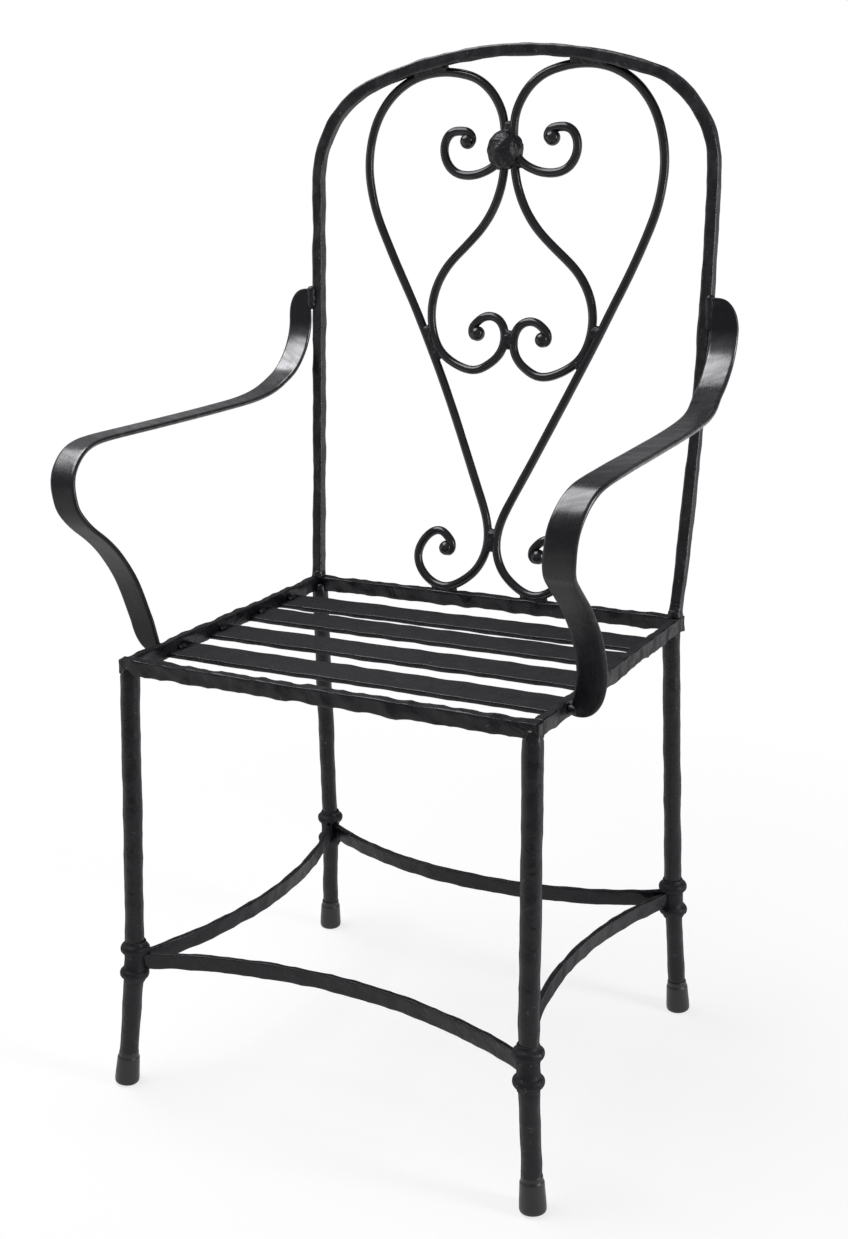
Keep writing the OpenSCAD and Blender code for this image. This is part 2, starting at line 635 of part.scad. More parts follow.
inner_scroll(RIGHT);  // inner_scroll_right
scroll_welds();
arm(LEFT);  // arm_left
arm(RIGHT);  // arm_right
arm_welds();
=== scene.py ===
"""A wrought iron armchair: hammered bars, bent strap arms and a heart of bent rods, all painted black.

Every piece is worked in metres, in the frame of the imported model, and stands where its node stands.
"""

import math

import bmesh
import bpy
from mathutils import Matrix, Vector, noise


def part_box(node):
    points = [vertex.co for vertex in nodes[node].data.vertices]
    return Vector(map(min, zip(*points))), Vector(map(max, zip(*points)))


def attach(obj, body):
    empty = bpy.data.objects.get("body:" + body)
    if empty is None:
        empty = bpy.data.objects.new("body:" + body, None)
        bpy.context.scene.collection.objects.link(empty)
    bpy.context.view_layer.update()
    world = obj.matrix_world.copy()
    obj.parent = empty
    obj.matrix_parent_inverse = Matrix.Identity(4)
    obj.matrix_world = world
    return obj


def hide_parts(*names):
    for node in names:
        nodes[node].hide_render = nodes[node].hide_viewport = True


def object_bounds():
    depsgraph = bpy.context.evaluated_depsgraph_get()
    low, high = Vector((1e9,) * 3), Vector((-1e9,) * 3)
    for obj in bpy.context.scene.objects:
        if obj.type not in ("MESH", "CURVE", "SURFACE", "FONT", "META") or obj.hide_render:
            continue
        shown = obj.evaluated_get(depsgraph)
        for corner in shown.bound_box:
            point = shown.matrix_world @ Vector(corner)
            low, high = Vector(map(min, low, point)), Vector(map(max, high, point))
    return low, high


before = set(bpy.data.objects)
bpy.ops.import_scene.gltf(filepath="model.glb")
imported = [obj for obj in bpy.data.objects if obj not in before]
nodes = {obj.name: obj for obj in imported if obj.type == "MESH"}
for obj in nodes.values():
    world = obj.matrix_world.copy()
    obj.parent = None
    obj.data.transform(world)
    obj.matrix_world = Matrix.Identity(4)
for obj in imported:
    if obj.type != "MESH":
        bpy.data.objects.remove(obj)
cad_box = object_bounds()

LEFT, RIGHT = -1, 1
FRONT, BACK = -1, 1
TOWARDS_FRONT = Vector((0, -1, 0))
UP = Vector((0, 0, 1))

# Sizes of the chair, in metres
SEAT_HEIGHT = 0.440
LEG_RADIUS = {FRONT: 0.0096, BACK: 0.0091}
LEG_HEAD_INSET = {FRONT: 0.0073, BACK: 0.0105}
KNEE_HEIGHT = 0.131
KNEE_LEAN = {FRONT: (0.004, 0.028), BACK: (0.005, 0.002)}
FOOT_LEAN = {FRONT: (0.0145, 0.045), BACK: (0.0125, 0.002)}
FERRULE_FLOOR = 0.005
STRETCHER_HEIGHT = 0.017
STRETCHER_THICKNESS = 0.0055
HOOP_BAR = 0.0125
HOOP_HEIGHT = 0.552
HOOP_HALF_WIDTH = 0.225
SHOULDER_RADIUS = 0.103
CROWN_RADIUS = 0.480
POST_SPLAY = 0.012
POST_INSET = 0.0073
BACK_LEAN = 0.068
POST_HOLLOW = 0.0095
ROD_RADIUS = 0.0046
KNOB_RADIUS = 0.008
STRAP_WIDTH = 0.0285

seat_low, seat_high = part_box("front_rail")
SEAT_HALF_WIDTH = seat_high.x
SEAT_FRONT = seat_low.y
SEAT_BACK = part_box("back_rail")[1].y
RAIL_BOTTOM = seat_low.z


# Camera

PHOTO_HEIGHT = 1239
FOCAL_LENGTH_IN_PIXELS = 1549
# In millimetres. Blender takes a sensor's width for the picture's longer side, which is upright here.
FILM_HEIGHT = 36
EYE = Vector((0.735, -1.2658, 0.880))
EYE_TURN = math.radians(29.76)
EYE_DROP = math.radians(16.22)
EYE_TILT = math.radians(-1.96)


def make_camera():
    data = bpy.data.cameras.new("camera")
    data.sensor_width = FILM_HEIGHT
    data.lens = FILM_HEIGHT * FOCAL_LENGTH_IN_PIXELS / PHOTO_HEIGHT
    camera = bpy.data.objects.new("camera", data)
    bpy.context.scene.collection.objects.link(camera)
    turn = (
        Matrix.Rotation(EYE_TURN, 4, "Z")
        @ Matrix.Rotation(math.pi / 2 - EYE_DROP, 4, "X")
        @ Matrix.Rotation(EYE_TILT, 4, "Z")
    )
    camera.matrix_world = Matrix.Translation(EYE) @ turn
    bpy.context.scene.camera = camera


# Nodes


def add_node(tree, kind, inputs=None, **settings):
    """Adds a node. An input that is given a socket is linked to it, any other is set."""
    made = tree.nodes.new(kind)
    for key, value in settings.items():
        setattr(made, key, value)
    for key, value in (inputs or {}).items():
        if isinstance(value, bpy.types.NodeSocket):
            tree.links.new(value, made.inputs[key])
        else:
            made.inputs[key].default_value = value
    return made


def work_out(tree, operation, *values):
    return add_node(tree, "ShaderNodeMath", dict(enumerate(values)), operation=operation).outputs[0]


def ramp(tree, value, span, to=(0.0, 1.0), smooth=True):
    """Carries a value over from one span to another, held at both ends."""
    return add_node(
        tree,
        "ShaderNodeMapRange",
        {"Value": value, "From Min": span[0], "From Max": span[1], "To Min": to[0], "To Max": to[1]},
        interpolation_type="SMOOTHSTEP" if smooth else "LINEAR",
    ).outputs[0]


def cloud(tree, place, scale, detail, **more):
    """Soft patches of values from 0 to 1."""
    inputs = {"Vector": place, "Scale": scale, "Detail": detail, **more}
    return add_node(tree, "ShaderNodeTexNoise", inputs).outputs["Fac"]


def height_in(tree, vector):
    return add_node(tree, "ShaderNodeSeparateXYZ", {0: vector}).outputs["Z"]


def mix_shaders(tree, share, first, second):
    return add_node(tree, "ShaderNodeMixShader", {0: share, 1: first, 2: second}).outputs[0]


def seen_directly(tree):
    """1 for rays that show the background itself, in the picture, in a gloss or through glass, else 0."""
    path = add_node(tree, "ShaderNodeLightPath").outputs
    shown = work_out(tree, "MAXIMUM", path["Is Camera Ray"], path["Is Glossy Ray"])
    return work_out(tree, "MAXIMUM", shown, path["Is Transmission Ray"])


# Room, floor and light

WHITE = (1, 1, 1, 1)
ROOM_LIGHT = (0.97, 0.96, 1.0, 1)
ROOM_STRENGTH = 0.2
DIM_ROOM_STRENGTH = 0.2
FRONT_ROOM_STRENGTH = 0.42
BACKDROP_TOP = (0.02, 0.2)
CAMERA_SIDE = (0.5, -0.87, 0)
BACKDROP_ENDS = (0.05, 0.45)


def make_room():
    """A white backdrop behind. In the iron's gloss the room is dim above it and on the camera's side."""
    world = bpy.data.worlds.new("room")
    bpy.context.scene.world = world
    world.use_nodes = True
    tree = world.node_tree
    tree.nodes.clear()

    def shine(colour, strength):
        return add_node(tree, "ShaderNodeBackground", {"Color": colour, "Strength": strength}).outputs[0]

    direction = add_node(tree, "ShaderNodeTexCoord").outputs["Generated"]
    above = ramp(tree, height_in(tree, direction), BACKDROP_TOP)
    towards_camera = add_node(
        tree, "ShaderNodeVectorMath", {0: direction, 1: CAMERA_SIDE}, operation="DOT_PRODUCT"
    ).outputs["Value"]
    in_front = ramp(tree, towards_camera, BACKDROP_ENDS)
    in_gloss = add_node(tree, "ShaderNodeLightPath").outputs["Is Glossy Ray"]
    dimmed = work_out(tree, "MULTIPLY", above, in_gloss)
    fronted = work_out(tree, "MULTIPLY", in_front, in_gloss)
    behind = mix_shaders(tree, dimmed, shine(WHITE, 1.0), shine(ROOM_LIGHT, DIM_ROOM_STRENGTH))
    seen = mix_shaders(tree, fronted, behind, shine(ROOM_LIGHT, FRONT_ROOM_STRENGTH))
    mixed = mix_shaders(tree, seen_directly(tree), shine(ROOM_LIGHT, ROOM_STRENGTH), seen)
    add_node(tree, "ShaderNodeOutputWorld", {"Surface": mixed})
    world.cycles.sampling_method = "NONE"


FLOOR_HALF = 6.0
FLOOR_SIDES = 64
FLOOR_COLOUR = (0.94, 0.94, 0.94, 1)
FLOOR_FADE = (0.35, 1.1)
FLOOR_FRONT = 1.2
FLOOR_WHITENESS = 0.75


def make_floor():
    """A pale floor that keeps the chair's shadow and fades into the white backdrop further out."""
    bm = bmesh.new()
    bmesh.ops.create_circle(bm, cap_ends=True, radius=FLOOR_HALF, segments=FLOOR_SIDES)
    bmesh.ops.bisect_plane(
        bm,
        geom=bm.verts[:] + bm.edges[:] + bm.faces[:],
        plane_co=Vector(CAMERA_SIDE) * FLOOR_FRONT,
        plane_no=Vector(CAMERA_SIDE),
        clear_outer=True,
    )
    mesh = bpy.data.meshes.new("floor")
    bm.to_mesh(mesh)
    bm.free()
    floor = bpy.data.objects.new("floor", mesh)
    bpy.context.scene.collection.objects.link(floor)

    paint, tree, place = start_finish("pale_floor")
    away = add_node(tree, "ShaderNodeVectorMath", {0: place}, operation="LENGTH").outputs["Value"]
    fade = ramp(tree, away, FLOOR_FADE, to=(FLOOR_WHITENESS, 1.0))
    share = work_out(tree, "MULTIPLY", fade, seen_directly(tree))
    lit = add_node(tree, "ShaderNodeBsdfDiffuse", {"Color": FLOOR_COLOUR}).outputs[0]
    plain = add_node(tree, "ShaderNodeEmission", {"Color": WHITE, "Strength": 1.0}).outputs[0]
    add_node(tree, "ShaderNodeOutputMaterial", {"Surface": mix_shaders(tree, share, lit, plain)})
    paint.cycles.emission_sampling = "NONE"
    mesh.materials.append(paint)


# Each softbox: where it stands, what it faces, its width and height, its watts and its colour
SOFTBOXES = {
    "softbox_above": ((-0.8, -0.15, 2.1), (-0.2, -0.05, 0.5), (1.55, 1.25), 42, (0.98, 0.97, 1)),
    "softbox_left": ((-2.2, -0.9, 1.2), (0, 0, 0.5), (0.4, 1.0), 3, (0.96, 0.97, 1)),
    "softbox_right": ((2.0, 0.1, 0.95), (0, 0, 0.6), (0.4, 1.5), 28, (0.98, 0.97, 1)),
}


def make_lights():
    for name, (place, aim, size, watts, colour) in SOFTBOXES.items():
        data = bpy.data.lights.new(name, "AREA")
        data.shape = "RECTANGLE"
        data.size, data.size_y = size
        data.energy = watts
        data.color = colour
        lamp = bpy.data.objects.new(name, data)
        bpy.context.scene.collection.objects.link(lamp)
        lamp.location = place
        lamp.rotation_euler = (Vector(aim) - Vector(place)).to_track_quat("-Z", "Y").to_euler()


# Patterns that the finishes share


def start_group(name, inputs, outputs):
    """An empty pattern. Each input starts at its number, or is a vector where that is None."""
    group = bpy.data.node_groups.new(name, "ShaderNodeTree")
    for title, start in inputs.items():
        kind = "NodeSocketVector" if start is None else "NodeSocketFloat"
        socket = group.interface.new_socket(title, in_out="INPUT", socket_type=kind)
        if start is not None:
            socket.default_value = start
    for title in outputs:
        group.interface.new_socket(title, in_out="OUTPUT", socket_type="NodeSocketFloat")
    return group, group.nodes.new("NodeGroupInput").outputs


MIDDLE_VALUE = 0.5
MOTTLE_SPAN = (0.35, 0.72)


def make_hammer_marks():
    """Shallow marks with soft ridges between them, and the fine grain of the paint over them."""
    group, given = start_group(
        "hammer_marks",
        {"Place": None, "Dents per Metre": 70.0, "Grains per Metre": 900.0, "Grain Share": 0.15},
        ["Height", "Mottle"],
    )
    swell = cloud(group, given["Place"], given["Dents per Metre"], detail=1.5, Distortion=0.4)
    dents = work_out(group, "ABSOLUTE", work_out(group, "SUBTRACT", swell, MIDDLE_VALUE))
    grain = cloud(group, given["Place"], given["Grains per Metre"], detail=3.0)
    height = work_out(group, "MULTIPLY_ADD", grain, given["Grain Share"], dents)
    patches = cloud(group, given["Place"], given["Dents per Metre"], detail=4.0, Roughness=0.65)
    add_node(group, "NodeGroupOutput", {"Height": height, "Mottle": ramp(group, patches, MOTTLE_SPAN)})
    return group


RUBBED_SPAN = (0.5, 0.75)


def make_rubbed_edges():
    """Where the paint has rubbed thin: along the corners, in broken patches."""
    group, given = start_group(
        "rubbed_edges", {"Place": None, "Corner": 0.0, "Patches per Metre": 90.0, "Amount": 0.5}, ["Rubbed"]
    )
    patches = cloud(group, given["Place"], given["Patches per Metre"], detail=5.0, Roughness=0.7)
    edge = work_out(group, "MULTIPLY", ramp(group, patches, RUBBED_SPAN), given["Corner"])
    add_node(group, "NodeGroupOutput", {"Rubbed": work_out(group, "MULTIPLY", edge, given["Amount"])})
    return group


FACING_UP_SPAN = (0.3, 1.0)
DUST_CLOUDS_PER_METRE = 45.0


def make_settled_dust():
    """A thin film of dust on what faces up."""
    group, given = start_group("settled_dust", {"Place": None, "Amount": 0.3}, ["Dust"])
    upward = height_in(group, add_node(group, "ShaderNodeNewGeometry").outputs["Normal"])
    lying = ramp(group, upward, FACING_UP_SPAN, smooth=False)
    patches = cloud(group, given["Place"], DUST_CLOUDS_PER_METRE, detail=4.0)
    patchy = work_out(group, "MULTIPLY", lying, patches)
    add_node(group, "NodeGroupOutput", {"Dust": work_out(group, "MULTIPLY", patchy, given["Amount"])})
    return group


STREAKS_PER_METRE = 900.0
CROSS_MARKS_PER_METRE = 130.0
CROSS_MARK_STRETCH = 0.25
CROSS_MARK_SLANT = 0.5


def make_drawn_streaks():
    """Fine streaks along a strap, and broader slanted marks across it, on the strap's own map."""
    group, given = start_group(
        "drawn_streaks", {"Map": None, "Streak Stretch": 0.03}, ["Streaks", "Cross Marks"]
    )
    strap = add_node(group, "ShaderNodeSeparateXYZ", {0: given["Map"]}).outputs
    slow = work_out(group, "MULTIPLY", strap["Y"], given["Streak Stretch"])
    drawn = add_node(group, "ShaderNodeCombineXYZ", {"X": strap["X"], "Y": slow}).outputs[0]
    streaks = cloud(group, drawn, STREAKS_PER_METRE, detail=4.0, Roughness=0.6)
    broad = work_out(group, "MULTIPLY", strap["X"], CROSS_MARK_STRETCH)
    slanted = work_out(group, "MULTIPLY_ADD", strap["X"], CROSS_MARK_SLANT, strap["Y"])
    across = add_node(group, "ShaderNodeCombineXYZ", {"X": broad, "Y": slanted}).outputs[0]
    marks = cloud(group, across, CROSS_MARKS_PER_METRE, detail=2.0)
    add_node(group, "NodeGroupOutput", {"Streaks": streaks, "Cross Marks": marks})
    return group


NICK_WIDTH_SPAN = (0.004, 0.012)
NICK_PLACES_PER_METRE = 170.0
NICK_PLACES_SPAN = (0.62, 0.69)


def make_nicks():
    """A few short thin nicks through the paint, lying every way."""
    group, given = start_group("nicks", {"Place": None, "Nicks per Metre": 70.0, "Amount": 1.0}, ["Nicks"])
    bent = cloud(group, given["Place"], given["Nicks per Metre"], detail=1.0)
    distance = work_out(group, "ABSOLUTE", work_out(group, "SUBTRACT", bent, MIDDLE_VALUE))
    thin = ramp(group, distance, NICK_WIDTH_SPAN, to=(1.0, 0.0), smooth=False)
    spread = cloud(group, given["Place"], NICK_PLACES_PER_METRE, detail=2.0)
    short = work_out(group, "MULTIPLY", thin, ramp(group, spread, NICK_PLACES_SPAN))
    add_node(group, "NodeGroupOutput", {"Nicks": work_out(group, "MULTIPLY", short, given["Amount"])})
    return group


POLISH_STARTS = (0.575, 0.67)
POLISH_ENDS = (0.708, 0.722)
STREAK_SPAN = (0.25, 0.6)
LEAST_IN_STREAKS = 0.6
CROSS_MARK_SPAN = (0.38, 0.62)
LEAST_IN_CROSS_MARKS = 0.55


def make_arm_polish():
    """Where arms and hands keep a strap polished: from its upper bend to its front bend."""
    group, given = start_group(
        "arm_polish", {"Place": None, "Streaks": 0.5, "Cross Marks": 0.5}, ["Polish"]
    )
    height = height_in(group, given["Place"])
    rising = ramp(group, height, POLISH_STARTS)
    falling = ramp(group, height, POLISH_ENDS, to=(1.0, 0.0))
    between = work_out(group, "MULTIPLY", rising, falling)
    streaked = ramp(group, given["Streaks"], STREAK_SPAN, to=(LEAST_IN_STREAKS, 1.0), smooth=False)
    marked = ramp(
        group, given["Cross Marks"], CROSS_MARK_SPAN, to=(LEAST_IN_CROSS_MARKS, 1.0), smooth=False
    )
    worn = work_out(group, "MULTIPLY", streaked, marked)
    add_node(group, "NodeGroupOutput", {"Polish": work_out(group, "MULTIPLY", between, worn)})
    return group


hammer_marks = make_hammer_marks()
nicks = make_nicks()
rubbed_edges = make_rubbed_edges()
settled_dust = make_settled_dust()
drawn_streaks = make_drawn_streaks()
arm_polish = make_arm_polish()


# Finishes

BLACK_PAINT = (0.0045, 0.0042, 0.0055, 1)
BLUE_BLACK_PAINT = (0.0095, 0.0088, 0.012, 1)
# Paler paint for the back bar's patches: partly paint worn thin, partly a painted sheen standing in for reflected
# light on its faces
THIN_PAINT_AND_SHEEN = (0.0165, 0.0158, 0.0185, 1)
RUBBED_IRON = (0.075, 0.075, 0.08, 1)
BARE_NICK = (0.22, 0.22, 0.23, 1)
DUST = (0.11, 0.11, 0.115, 1)
DARK_RUBBER = (0.005, 0.005, 0.0055, 1)
PALE_RUBBER = (0.009, 0.009, 0.01, 1)
RUBBER_ROUGHNESS = (0.32, 0.5)
RIM = (0.5, 0.85)
WHOLE_SPAN = (0.0, 1.0)


def use_group(tree, group, inputs):
    return add_node(tree, "ShaderNodeGroup", inputs, node_tree=group).outputs


def blend_colours(tree, share, first, second):
    mixed = add_node(tree, "ShaderNodeMix", {0: share, 6: first, 7: second}, data_type="RGBA")
    return mixed.outputs[2]


def start_finish(name):
    """A bare material, its nodes, and the place on the piece."""
    finish = bpy.data.materials.new(name)
    finish.use_nodes = True
    tree = finish.node_tree
    tree.nodes.clear()
    return finish, tree, add_node(tree, "ShaderNodeTexCoord").outputs["Object"]


def mark_surface(tree, place, dents, grains, grain_share):
    inputs = {"Place": place, "Dents per Metre": dents, "Grains per Metre": grains, "Grain Share": grain_share}
    return use_group(tree, hammer_marks, inputs)


def rub_corners(tree, place, amount):
    corner = add_node(tree, "ShaderNodeAttribute", attribute_name="corner").outputs["Fac"]
    return use_group(tree, rubbed_edges, {"Place": place, "Corner": corner, "Amount": amount})["Rubbed"]


def matt_at_rim(tree, roughness, rim_roughness=0.9):
    """The paint's fine orange peel scatters what it mirrors at a low angle, so that edges stay dark."""
    facing = add_node(tree, "ShaderNodeLayerWeight", {"Blend": 0.5}).outputs["Facing"]
    rim = ramp(tree, facing, RIM)
    return add_node(tree, "ShaderNodeMix", {0: rim, 2: roughness, 3: rim_roughness}).outputs[0]


def end_finish(tree, colour, roughness, height, bump, specular, coat=None):
    normal = add_node(tree, "ShaderNodeBump", {"Height": height, "Distance": bump, "Strength": 1.0}).outputs[0]
    inputs = {"Base Color": colour, "Roughness": roughness, "Normal": normal, "Specular IOR Level": specular}
    inputs.update(coat or {})
    shader = add_node(tree, "ShaderNodeBsdfPrincipled", inputs)
    add_node(tree, "ShaderNodeOutputMaterial", {"Surface": shader.outputs[0]})


def iron_paint(
    name, dents, grains, bump, roughness, specular, rub, dust=0.05, nicked=0.6, paler_paint_and_sheen=BLUE_BLACK_PAINT
):
    """Black paint over worked iron: dents, grain, rubbed corners, nicks and a little dust, and a painted sheen in
    its paler patches where the paler paint given carries one.
    """
    finish, tree, place = start_finish(name)
    marks = mark_surface(tree, place, dents, grains, grain_share=0.12)
    dusty = use_group(tree, settled_dust, {"Place": place, "Amount": dust})["Dust"]
    bare = use_group(tree, nicks, {"Place": place, "Amount": nicked})["Nicks"]
    # Patches of a paler paint; on the back bar this paler colour is partly a painted sheen
    painted = blend_colours(tree, marks["Mottle"], BLACK_PAINT, paler_paint_and_sheen)
    worn = blend_colours(tree, rub_corners(tree, place, rub), painted, RUBBED_IRON)
    scratched = blend_colours(tree, bare, worn, BARE_NICK)
    colour = blend_colours(tree, dusty, scratched, DUST)
    rough = ramp(tree, marks["Mottle"], WHOLE_SPAN, to=roughness, smooth=False)
    end_finish(tree, colour, matt_at_rim(tree, rough), marks["Height"], bump, specular)
    return finish


STRAP_STREAK_SPAN = (0.3, 0.7)
STRAP_ROUGHNESS = (0.17, 0.3)
CROSS_MARK_ROUGHNESS = 0.14
STREAK_HEIGHT = 0.05
STRAP_RIM_ROUGHNESS = 0.6


def strap_paint(name):
    """The smooth glossy paint of the arm straps, streaked along its length and polished by hands."""
    finish, tree, place = start_finish(name)
    strap_map = add_node(tree, "ShaderNodeUVMap", uv_map="along_strap").outputs["UV"]
    drawn = use_group(tree, drawn_streaks, {"Map": strap_map, "Streak Stretch": 0.03})
    streaks, cross_marks = drawn["Streaks"], drawn["Cross Marks"]
    marks = mark_surface(tree, place, dents=38.0, grains=1400.0, grain_share=0.03)
    painted = blend_colours(tree, streaks, BLACK_PAINT, BLUE_BLACK_PAINT)
    colour = blend_colours(tree, rub_corners(tree, place, amount=0.5), painted, RUBBED_IRON)
    streaky = ramp(tree, streaks, STRAP_STREAK_SPAN, to=STRAP_ROUGHNESS, smooth=False)
    rough = work_out(tree, "MULTIPLY_ADD", cross_marks, CROSS_MARK_ROUGHNESS, streaky)
    rough = matt_at_rim(tree, rough, STRAP_RIM_ROUGHNESS)
    ridges = work_out(tree, "MULTIPLY_ADD", streaks, STREAK_HEIGHT, marks["Height"])
    worn = use_group(tree, arm_polish, {"Place": place, "Streaks": streaks, "Cross Marks": cross_marks})
    coat = {"Coat Weight": worn["Polish"], "Coat Roughness": 0.2, "Coat IOR": 1.75}
    end_finish(tree, colour, rough, ridges, bump=0.0006, specular=0.25, coat=coat)
    return finish


def rubber(name):
    """Matt black moulded rubber, faintly grained and dusty."""
    finish, tree, place = start_finish(name)
    marks = mark_surface(tree, place, dents=150.0, grains=1800.0, grain_share=0.5)
    dusty = use_group(tree, settled_dust, {"Place": place, "Amount": 0.1})["Dust"]
    moulded = blend_colours(tree, marks["Mottle"], DARK_RUBBER, PALE_RUBBER)
    colour = blend_colours(tree, dusty, moulded, DUST)
    rough = ramp(tree, marks["Mottle"], WHOLE_SPAN, to=RUBBER_ROUGHNESS, smooth=False)
    end_finish(tree, colour, rough, marks["Height"], bump=0.00012, specular=0.5)
    return finish


finishes = {
    "hammered_iron": iron_paint(
        "hammered_iron", dents=75.0, grains=900.0, bump=0.0011, roughness=(0.2, 0.4), specular=0.28,
        rub=0.16, dust=0.03, nicked=0.25,
    ),
    # The back bar's paler patches are worn paint and a painted sheen, lighter than the bar's own black
    "back_bar": iron_paint(
        "back_bar", dents=60.0, grains=900.0, bump=0.0012, roughness=(0.2, 0.36), specular=0.38,
        rub=0.8, dust=0.09, nicked=0.45, paler_paint_and_sheen=THIN_PAINT_AND_SHEEN,
    ),
    "scroll_rod": iron_paint(
        "scroll_rod", dents=45.0, grains=1300.0, bump=0.00002, roughness=(0.16, 0.24), specular=0.48,
        rub=0.1, dust=0.02, nicked=0.0,
    ),
    "arm_strap": strap_paint("arm_strap"),
    "cast_collar": iron_paint(
        "cast_collar", dents=160.0, grains=900.0, bump=0.0008, roughness=(0.48, 0.6), specular=0.22, rub=0.5
    ),
    "weld_metal": iron_paint(
        "weld_metal", dents=240.0, grains=1000.0, bump=0.0006, roughness=(0.3, 0.42), specular=0.3, rub=0.35
    ),
    "ferrule_rubber": rubber("ferrule_rubber"),
}


# Working the iron

MERGE = 0.00001
CORNER_SHARPNESS = 0.9
CORNER_STEPS = 3
DENT_REACH = 0.75
WAVE_LEVEL = 0.3
SEED_SHIFT = (1.7, 2.3, 3.1)


def finish_piece(name, bm, slot, stands_for, levels=0, finish=None):
    """Makes the worked skin an object in its place, with its finish, standing for its CAD nodes."""
    for v in bm.verts:
        v.co = Vector(min(max(c, low), high) for c, low, high in zip(v.co, *cad_box))
    mesh = bpy.data.meshes.new(name)
    bm.to_mesh(mesh)
    bm.free()
    mesh.polygons.foreach_set("use_smooth", [True] * len(mesh.polygons))
    mesh.materials.append(finishes[finish or slot])
    piece = bpy.data.objects.new(name, mesh)
    bpy.context.scene.collection.objects.link(piece)
    if levels:
        rounding = piece.modifiers.new("rounding", "SUBSURF")
        rounding.levels = rounding.render_levels = levels
    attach(piece, "root")
    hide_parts(*stands_for)


def blank():
    """An empty skin whose rings can be numbered and whose corners can be marked."""
    bm = bmesh.new()
    bm.verts.layers.int.new("ring")
    bm.verts.layers.float.new("corner")
    return bm


def merged_copy(node):
    """A copy of a node's skin, its loose triangles joined."""
    bm = bmesh.new()
    bm.from_mesh(nodes[node].data)
    bmesh.ops.remove_doubles(bm, verts=bm.verts, dist=MERGE)
    return bm


def middle_of(verts):
    return sum((v.co for v in verts), Vector()) / len(verts)


def line_between(a, b, step):
    count = max(2, round((b - a).length / step))
    return [a.lerp(b, i / count) for i in range(count + 1)]


def places_along(points, facing):
    """A place at each point of a line: its third axis runs along the line, its second faces the way given."""
    places = []
    for i, point in enumerate(points):
        along = (points[min(i + 1, len(points) - 1)] - points[max(i - 1, 0)]).normalized()
        through = (facing - along * facing.dot(along)).normalized()
        place = Matrix((through.cross(along), through, along)).transposed().to_4x4()
        place.translation = point
        places.append(place)
    return places


def flat_start(bm, place, width, thickness, across, through):
    """A flat bar's end face, ruled into small faces so that the bar can be dented."""
    made = bmesh.ops.create_grid(bm, x_segments=across, y_segments=through, size=1)["verts"]
    span = max(v.co.x for v in made) * 2
    size = Matrix.Diagonal((width / span, thickness / span, 1, 1))
    bmesh.ops.transform(bm, matrix=place @ size, verts=made)
    return made


def round_start(bm, place, radius, sides):
    return bmesh.ops.create_circle(bm, cap_ends=True, radius=radius, segments=sides, matrix=place)["verts"]


def draw_out(bm, start, places):
    """Draws an end face out into a bar through the places given, and numbers its rings."""
    ring = bm.verts.layers.int["ring"]
    faces = list({face for v in start for face in v.link_faces})
    for i in range(1, len(places)):
        out = bmesh.ops.extrude_face_region(bm, geom=faces)["geom"]
        if i > 1:
            bmesh.ops.delete(bm, geom=faces, context="FACES")
        faces = [g for g in out if isinstance(g, bmesh.types.BMFace)]
        verts = [g for g in out if isinstance(g, bmesh.types.BMVert)]
        bmesh.ops.transform(bm, matrix=places[i] @ places[i - 1].inverted(), verts=verts)
        for v in verts:
            v[ring] = i
    bmesh.ops.recalc_face_normals(bm, faces=bm.faces)


def ease_corners(bm, width):
    """Rounds the long corners of a drawn bar and marks them, so that its paint can rub thin there."""
    ring = bm.verts.layers.int["ring"]
    corner = bm.verts.layers.float["corner"]
    along = [e for e in bm.edges if e.verts[0][ring] != e.verts[1][ring] and len(e.link_faces) == 2]
    long_corners = [e for e in along if e.calc_face_angle() > CORNER_SHARPNESS]
    eased = bmesh.ops.bevel(
        bm,
        geom=long_corners,
        offset=width,
        segments=CORNER_STEPS,
        profile=0.5,
        affect="EDGES",
        material=-1,
    )
    for face in eased["faces"]:
        for v in face.verts:
            v[corner] = 1.0


def hammer(bm, seed, dent, depth, wave=0.0, wave_length=0.03, lift=0.4):
    """Beats a skin all over: dents, deepest in their middles, on slow waves."""
    bm.normal_update()
    start = Vector([seed * shift for shift in SEED_SHIFT])
    moved = []
    for v in bm.verts:
        nearest = noise.voronoi(v.co / dent + start)[0][0]
        bowl = max(0.0, 1 - (nearest / DENT_REACH) ** 2)
        roll = noise.noise(v.co / wave_length + start)
        moved.append(v.co + v.normal * (depth * (lift - bowl) + wave * (roll - WAVE_LEVEL)))
    for v, co in zip(bm.verts, moved):
        v.co = co


def beat_bar(line, facing, size, rules, easing, seed, **blows):
    """A flat bar along a line, its end face ruled as given, with eased corners and beaten faces."""
    places = places_along(line, facing)
    bm = blank()
    draw_out(bm, flat_start(bm, places[0], *size, *rules), places)
    ease_corners(bm, easing)
    hammer(bm, seed, **blows)
    return bm


# Seat frame and slats

RING_STEP = 0.0035
INTO_NEIGHBOUR = 0.0015
RAIL_RULES = (4, 5)
RAIL_EASING = 0.0016

# The way each rail runs, and how far it goes on past its node's two ends
RAILS = {
    "front_rail": (0, (0.0018, 0.001)),
    "back_rail": (0, (0, 0)),
    "left_rail": (1, (INTO_NEIGHBOUR, INTO_NEIGHBOUR)),
    "right_rail": (1, (INTO_NEIGHBOUR, INTO_NEIGHBOUR)),
}


